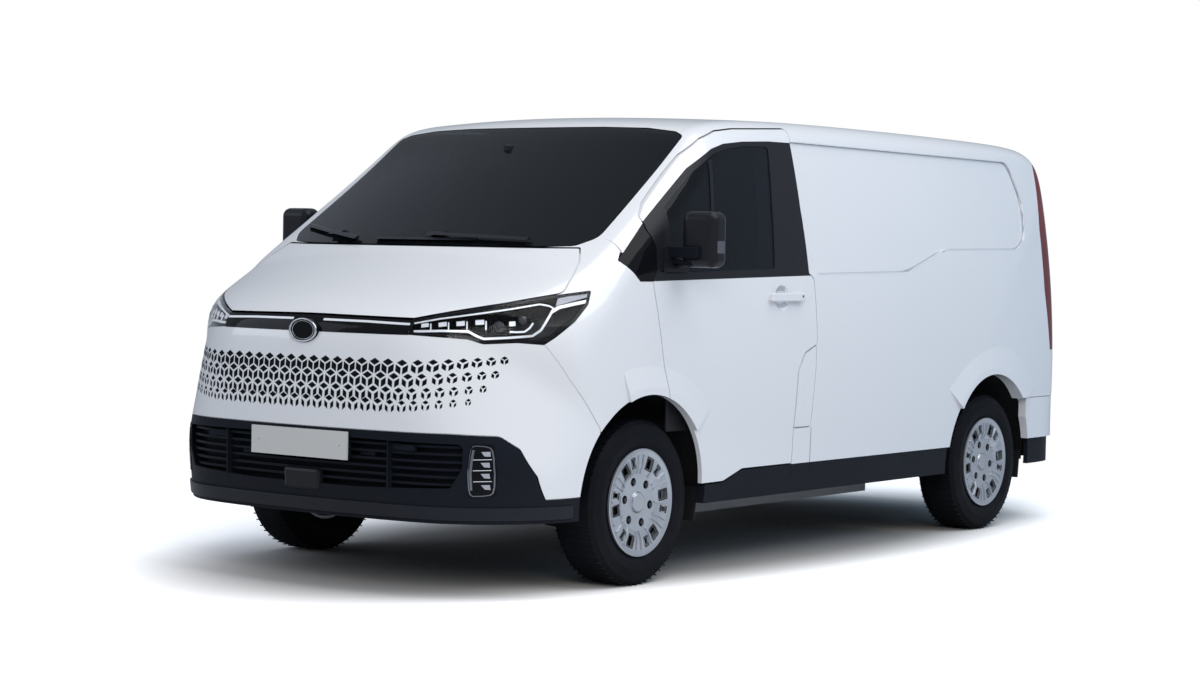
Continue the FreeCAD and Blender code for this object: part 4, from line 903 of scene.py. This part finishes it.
# Wheels: a dark sheet behind the slots as painted shade, nuts, ribs beside the slots, dark rims round the
# slots as painted shade, and the seam round the cap.
# Depths are counted inwards from the wheel's outer plane; the pattern repeats at each of the SPOKES.
SPOKES = range(0, 360, 60)
SLOT_SHADE_BACKING = ((0.040, 0.070), (0.036, 0.070), (0.036, 0.186), (0.040, 0.186))
NUT_RING = 0.090
NUT_TURN = 40
NUT_FOOT = 0.0115
NUT_TOP = 0.0085
NUT_LENGTH = 0.020
NUT_DEPTH = 0.031
RIB_ANGLES = (6.0, 33.5, 55.5)
RIB_RADII = (0.118, 0.196)
RIB_WIDTH = 0.008
# Each slot as its angle, half its width and its inner radius
SLOTS = ((22.0, 0.021, 0.140), (43.0, 0.0125, 0.150))
SLOT_END = 0.191
SLOT_SHADE_RIM_WIDTH = 0.0055
CAP_SEAM_RADIUS = 0.0425
CAP_SEAM_WIDTH = 0.0022


def on_wheel(side, centre, radius, degrees):
    """Point on the wheel's outer plane, at an angle from its top, clockwise seen from outside."""
    angle = math.radians(degrees)
    return centre + Vector((0, side * radius * math.sin(angle), radius * math.cos(angle)))


# Painted shade: a dark sheet behind the cover, so that the slots show black
def make_painted_slot_shade_backing(corner, side, centre):
    mesh = bmesh.new()
    spin_profile(mesh, [(-side * depth, r) for depth, r in SLOT_SHADE_BACKING], centre)
    add_piece("painted_slot_shade_backing_" + corner, mesh, "wheel_" + corner, DEEP_BLACK_AND_SLOT_SHADE, smooth=True)


def make_wheel_nuts(corner, side, centre):
    mesh = bmesh.new()
    turn = Matrix.Rotation(side * math.pi / 2, 3, "Y")
    for spoke in SPOKES:
        nut = bmesh.ops.create_cone(mesh, cap_ends=True, segments=6, radius1=NUT_FOOT, radius2=NUT_TOP,
                                    depth=NUT_LENGTH)["verts"]
        bmesh.ops.rotate(mesh, matrix=turn, verts=nut)
        place = on_wheel(side, centre, NUT_RING, NUT_TURN + spoke) - Vector((side * NUT_DEPTH, 0, 0))
        bmesh.ops.translate(mesh, vec=place, verts=nut)
    add_piece("wheel_nuts_" + corner, mesh, "wheel_" + corner, NUT_BLACK_AND_SLOT_SHADE, bevel=0.001)


def make_wheel_ribs(corner, side, centre):
    mesh = bmesh.new()
    wheel = "wheel_" + corner
    for spoke in SPOKES:
        for angle in RIB_ANGLES:
            line = [on_wheel(side, centre, radius, angle + spoke) for radius in RIB_RADII]
            ribbon(mesh, line, RIB_WIDTH, (wheel,), side_way(side), lift=0.0055, thick=0.007)
    add_piece("wheel_ribs_" + corner, mesh, wheel, SILVER, bevel=0.001)


# Painted shade: dark rims round each slot, so that the dark opening looks wider than the slot in the cover
def make_painted_slot_shade_rims(corner, side, centre):
    mesh = bmesh.new()
    wheel = "wheel_" + corner
    for spoke in SPOKES:
        for angle, half, start in SLOTS:
            line = []
            for out, across in ((start, -half), (SLOT_END, -half), (SLOT_END, half), (start, half)):
                lean = math.degrees(math.atan2(across, out))
                line.append(on_wheel(side, centre, math.hypot(out, across), spoke + angle + lean))
            ribbon(mesh, line, SLOT_SHADE_RIM_WIDTH, (wheel,), side_way(side), lift=0.0012, thick=0.002,
                   closed=True)
    add_piece("painted_slot_shade_rims_" + corner, mesh, wheel, NUT_BLACK_AND_SLOT_SHADE)


def make_cap_seam(corner, side, centre):
    mesh = bmesh.new()
    wheel = "wheel_" + corner
    circle = [on_wheel(side, centre, CAP_SEAM_RADIUS, degrees) for degrees in range(0, 360, 15)]
    ribbon(mesh, circle, CAP_SEAM_WIDTH, (wheel,), side_way(side), lift=0.0005, thick=0.001, closed=True)
    add_piece("cap_seam_" + corner, mesh, wheel, DEEP_BLACK_AND_SLOT_SHADE)


# Seats as a name, a middle x and a width; cushions, backs and plinths take their width from the seat
SEAT_Y = FA + 0.640
SEATS = [("driver", 0.430, 0.520), ("middle", -0.130, 0.455), ("outer", -0.620, 0.455)]
SEAT_LEAN = -12
CUSHION, CUSHION_PLACE = (0.520, 0.150), (SEAT_Y + 0.225, 0.700)
BACK, BACK_PLACE = (0.130, 0.660), (SEAT_Y + 0.535, 1.040)
BACK_MARGIN = 0.01
HEAD_REST, HEAD_REST_PLACE = (0.280, 0.110, 0.200), (SEAT_Y + 0.628, 1.430)
PLINTH, PLINTH_PLACE = (0.400, 0.195), (SEAT_Y + 0.230, 0.5385)
PLINTH_MARGIN = 0.06
HEAD_POST, HEAD_POST_PLACE = (0.012, 0.012, 0.14), (SEAT_Y + 0.607, 1.335)
HEAD_POST_X = (-0.06, 0.06)


def soften(name, mesh, material):
    """Crowned pad from a block: smoothed, with its sides drawn in between the corners."""
    bmesh.ops.subdivide_edges(mesh, edges=mesh.edges, cuts=5, use_grid_fill=True)
    for _ in range(4):
        bmesh.ops.smooth_vert(mesh, verts=mesh.verts, factor=0.5, use_axis_x=True, use_axis_y=True,
                              use_axis_z=True)
    pad = add_piece(name, mesh, "van_body", material, smooth=True)
    rounding = pad.modifiers.new("rounding", "SUBSURF")
    rounding.levels = rounding.render_levels = 2
    return pad


def make_seats():
    lean = tipped(SEAT_LEAN)
    plinths = bmesh.new()
    for name, x, width in SEATS:
        cushion, back, head = (bmesh.new() for _ in range(3))
        add_block(cushion, (width, *CUSHION), (x, *CUSHION_PLACE))
        soften("seat_cushion_" + name, cushion, FABRIC)
        add_block(back, (width - BACK_MARGIN, *BACK), (x, *BACK_PLACE), lean)
        soften("seat_back_" + name, back, FABRIC)
        add_block(head, HEAD_REST, (x, *HEAD_REST_PLACE), lean)
        soften("head_rest_" + name, head, FABRIC)
        add_block(plinths, (width - PLINTH_MARGIN, *PLINTH), (x, *PLINTH_PLACE))
        for post_x in HEAD_POST_X:
            add_block(plinths, HEAD_POST, (x + post_x, *HEAD_POST_PLACE), lean)
    base = add_piece("seat_plinths", plinths, "van_body", DASH, bevel=0.004)
    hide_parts("seats")


# Cab fittings as a size, a place (x, y, z) with y counted from the front axle, and a tip in degrees
DASH_FITTINGS = [
    ((0.120, 0.050, 0.110), (0.400, 0.300, 1.095), 32),
    ((0.300, 0.020, 0.110), (0.400, 0.150, 1.240), 14),
    ((0.260, 0.020, 0.160), (0.0, 0.150, 1.240), 14),
]
AIR_VENTS = [((0.110, 0.020, 0.060), (x, 0.172, 1.110), 0) for x in (-0.700, -0.160, 0.160, 0.700)]
INSIDE_MIRROR = [
    ((0.240, 0.012, 0.070), (0.0, 0.330, 1.790), -20),
    ((0.030, 0.060, 0.030), (0.0, 0.300, 1.815), 0),
]
DOOR_LINING = [
    ((0.014, 0.900, 0.560), (0.9150, 0.680, 0.900), 0),
    ((0.055, 0.420, 0.060), (0.885, 0.640, 1.010), 0),
    ((0.040, 0.700, 0.120), (0.892, 0.680, 0.690), 0),
]


def fitting_mesh(side, blocks):
    mesh = bmesh.new()
    for size, place, tip in blocks:
        add_block(mesh, size, from_axle(side, *place), tipped(tip))
    return mesh


def make_cab():
    dash = fitting_mesh(1, DASH_FITTINGS + AIR_VENTS)
    add_piece("dash_fittings", dash, "van_body", GLOSS_BLACK, bevel=0.008)
    mirror = fitting_mesh(1, INSIDE_MIRROR)
    add_piece("inside_mirror", mirror, "van_body", SATIN_BLACK, bevel=0.006)
    for side, name in SIDES:
        lining = fitting_mesh(side, DOOR_LINING)
        add_piece("door_lining_" + name, lining, "door_" + name, DASH, bevel=0.008)


dress_nodes()
make_seats()
make_cab()
make_perforation()
make_nose_strip()
make_badge()
make_headlamps()
make_clusters()
make_grille_detail()
make_lower_seams()
for side, name in SIDES:
    make_mirror_detail(side, name)
    make_door_lock(side, name)
for side, name in SIDES:
    make_rear_hinges(side, name)
make_rear_handle()
make_rear_lamps()
for corner, side, centre in CORNERS:
    make_tread_cuts(corner, side, centre)
for corner, side, centre in CORNERS:
    for make in (make_painted_slot_shade_backing, make_wheel_nuts, make_wheel_ribs, make_painted_slot_shade_rims, make_cap_seam):
        make(corner, side, centre)
make_sliding_door_detail()
make_bumper_lip()
make_painted_press_shade()
make_handle_bowls()


# Camera fitted to the photograph: degrees, metres, and a focal length in the frame's pixels
CAMERA_YAW = 36.4442
CAMERA_PITCH = 1.97326
CAMERA_ROLL = 1.12521
CAMERA_PLACE = (6.88438, FA - 8.32586, 1.36935)
FOCAL_PIXELS = 2496.73
FRAME_PIXELS = 1200
SENSOR_WIDTH = 36.0


def make_camera():
    yaw, pitch, roll = (math.radians(angle) for angle in (CAMERA_YAW, CAMERA_PITCH, CAMERA_ROLL))
    back = Vector((math.sin(yaw) * math.cos(pitch), -math.cos(yaw) * math.cos(pitch), math.sin(pitch)))
    right = Vector((math.cos(yaw), math.sin(yaw), 0))
    up = back.cross(right)
    across = right * math.cos(roll) + up * math.sin(roll)
    upward = up * math.cos(roll) - right * math.sin(roll)
    camera = add_object("camera", bpy.data.cameras.new("camera"))
    camera.data.lens = FOCAL_PIXELS / FRAME_PIXELS * SENSOR_WIDTH
    camera.data.sensor_width = SENSOR_WIDTH
    camera.data.clip_end = 200.0
    rows = [(across[k], upward[k], back[k], CAMERA_PLACE[k]) for k in range(3)]
    camera.matrix_world = Matrix((*rows, (0, 0, 0, 1)))
    bpy.context.scene.camera = camera


# Lamps as name, place, target, size, watts, colour, and whether paint and glass mirror them
LAMPS = [
    ("ceiling", (4.4, -1.0, 7.0), (1.4, -1.0, 0), (6.5, 9.0), 380, (1, 1, 1), True),
    ("front_left", (6.5, -9.0, 5.0), (0, -1.0, 0.8), (5.0, 4.0), 360, (1.0, 0.98, 0.95), False),
    ("left_side", (6.8, 6.6, 3.6), (0, 2.3, 1.0), (6.0, 4.0), 120, (0.18, 0.58, 1.0), False),
    ("right_front", (-7.0, -7.0, 4.5), (0, -1.0, 0.8), (5.0, 4.0), 80, (0.80, 0.88, 1.0), True),
]


def make_lamps():
    for name, place, target, size, power, colour, mirrored in LAMPS:
        light = bpy.data.lights.new(name, "AREA")
        light.shape = "RECTANGLE"
        light.size, light.size_y = size
        light.energy = power
        light.color = colour
        lamp = add_object(name, light)
        lamp.location = place
        lamp.rotation_euler = (Vector(target) - Vector(place)).to_track_quat("-Z", "Y").to_euler()
        lamp.visible_glossy = mirrored


# World: white to the camera, soft blue light to the rest
SKY_COLOUR = (0.80, 0.88, 1.0, 1)
SKY_STRENGTH = 0.42


def make_world():
    world = bpy.data.worlds.new("studio")
    bpy.context.scene.world = world
    world.use_nodes = True
    tree = world.node_tree
    tree.nodes.clear()
    seen = tree.nodes.new("ShaderNodeBackground")
    seen.inputs["Color"].default_value = (1, 1, 1, 1)
    lit = tree.nodes.new("ShaderNodeBackground")
    fill_inputs(tree, lit, {"Color": SKY_COLOUR, "Strength": SKY_STRENGTH})
    ray = tree.nodes.new("ShaderNodeLightPath")
    show_mix(tree, "ShaderNodeOutputWorld", ray.outputs["Is Camera Ray"], lit.outputs[0], seen.outputs[0])


# Floor: its colour to the light and to the camera, a painted shadow as a dark oval under the van, and a fade
# into the world
FLOOR_RADIUS = 60.0
FLOOR_LIT = (0.66, 0.67, 0.69, 1)
FLOOR_SEEN = (2.1, 2.05, 2.0, 1)
SHADOW_OVAL_HALF_WIDTH = 1.15
SHADOW_OVAL_HALF_LENGTH = 2.65
SHADOW_OVAL_EDGE = (0.75, 1.45)
PAINTED_SHADOW_DARKNESS = 0.22
FLOOR_FADE = (2.8, 5.2)


def floor_material():
    material = bpy.data.materials.new("studio_floor")
    material.use_nodes = True
    tree = material.node_tree
    tree.nodes.clear()
    place = object_place(tree)
    ray = tree.nodes.new("ShaderNodeLightPath")
    tone = mix_colours(tree, ray.outputs["Is Camera Ray"], FLOOR_LIT, FLOOR_SEEN)
    # Painted shadow: the floor's colour darkens in an oval under the van
    oval = vector_node(tree, "MULTIPLY", place)
    oval.inputs[1].default_value = (1 / SHADOW_OVAL_HALF_WIDTH, 1 / SHADOW_OVAL_HALF_LENGTH, 0)
    reach = vector_node(tree, "LENGTH", oval.outputs[0])
    shade = map_range(tree, reach.outputs["Value"], SHADOW_OVAL_EDGE, (PAINTED_SHADOW_DARKNESS, 1.0), smooth=True)
    shaded = vector_node(tree, "SCALE", tone)
    tree.links.new(shade, shaded.inputs["Scale"])
    matt = tree.nodes.new("ShaderNodeBsdfDiffuse")
    tree.links.new(shaded.outputs[0], matt.inputs["Color"])
    away = vector_node(tree, "LENGTH", place)
    fade = map_range(tree, away.outputs["Value"], FLOOR_FADE, (0.0, 1.0), smooth=True)
    clear = tree.nodes.new("ShaderNodeBsdfTransparent")
    show_mix(tree, "ShaderNodeOutputMaterial", fade, matt.outputs[0], clear.outputs[0])
    return material


def make_floor():
    mesh = bmesh.new()
    bmesh.ops.create_circle(mesh, cap_ends=True, segments=96, radius=FLOOR_RADIUS)
    floor = mesh_object("studio_floor", mesh, floor_material())


make_camera()
make_world()
make_floor()
make_lamps()
bpy.context.scene.view_settings.view_transform = "Standard"
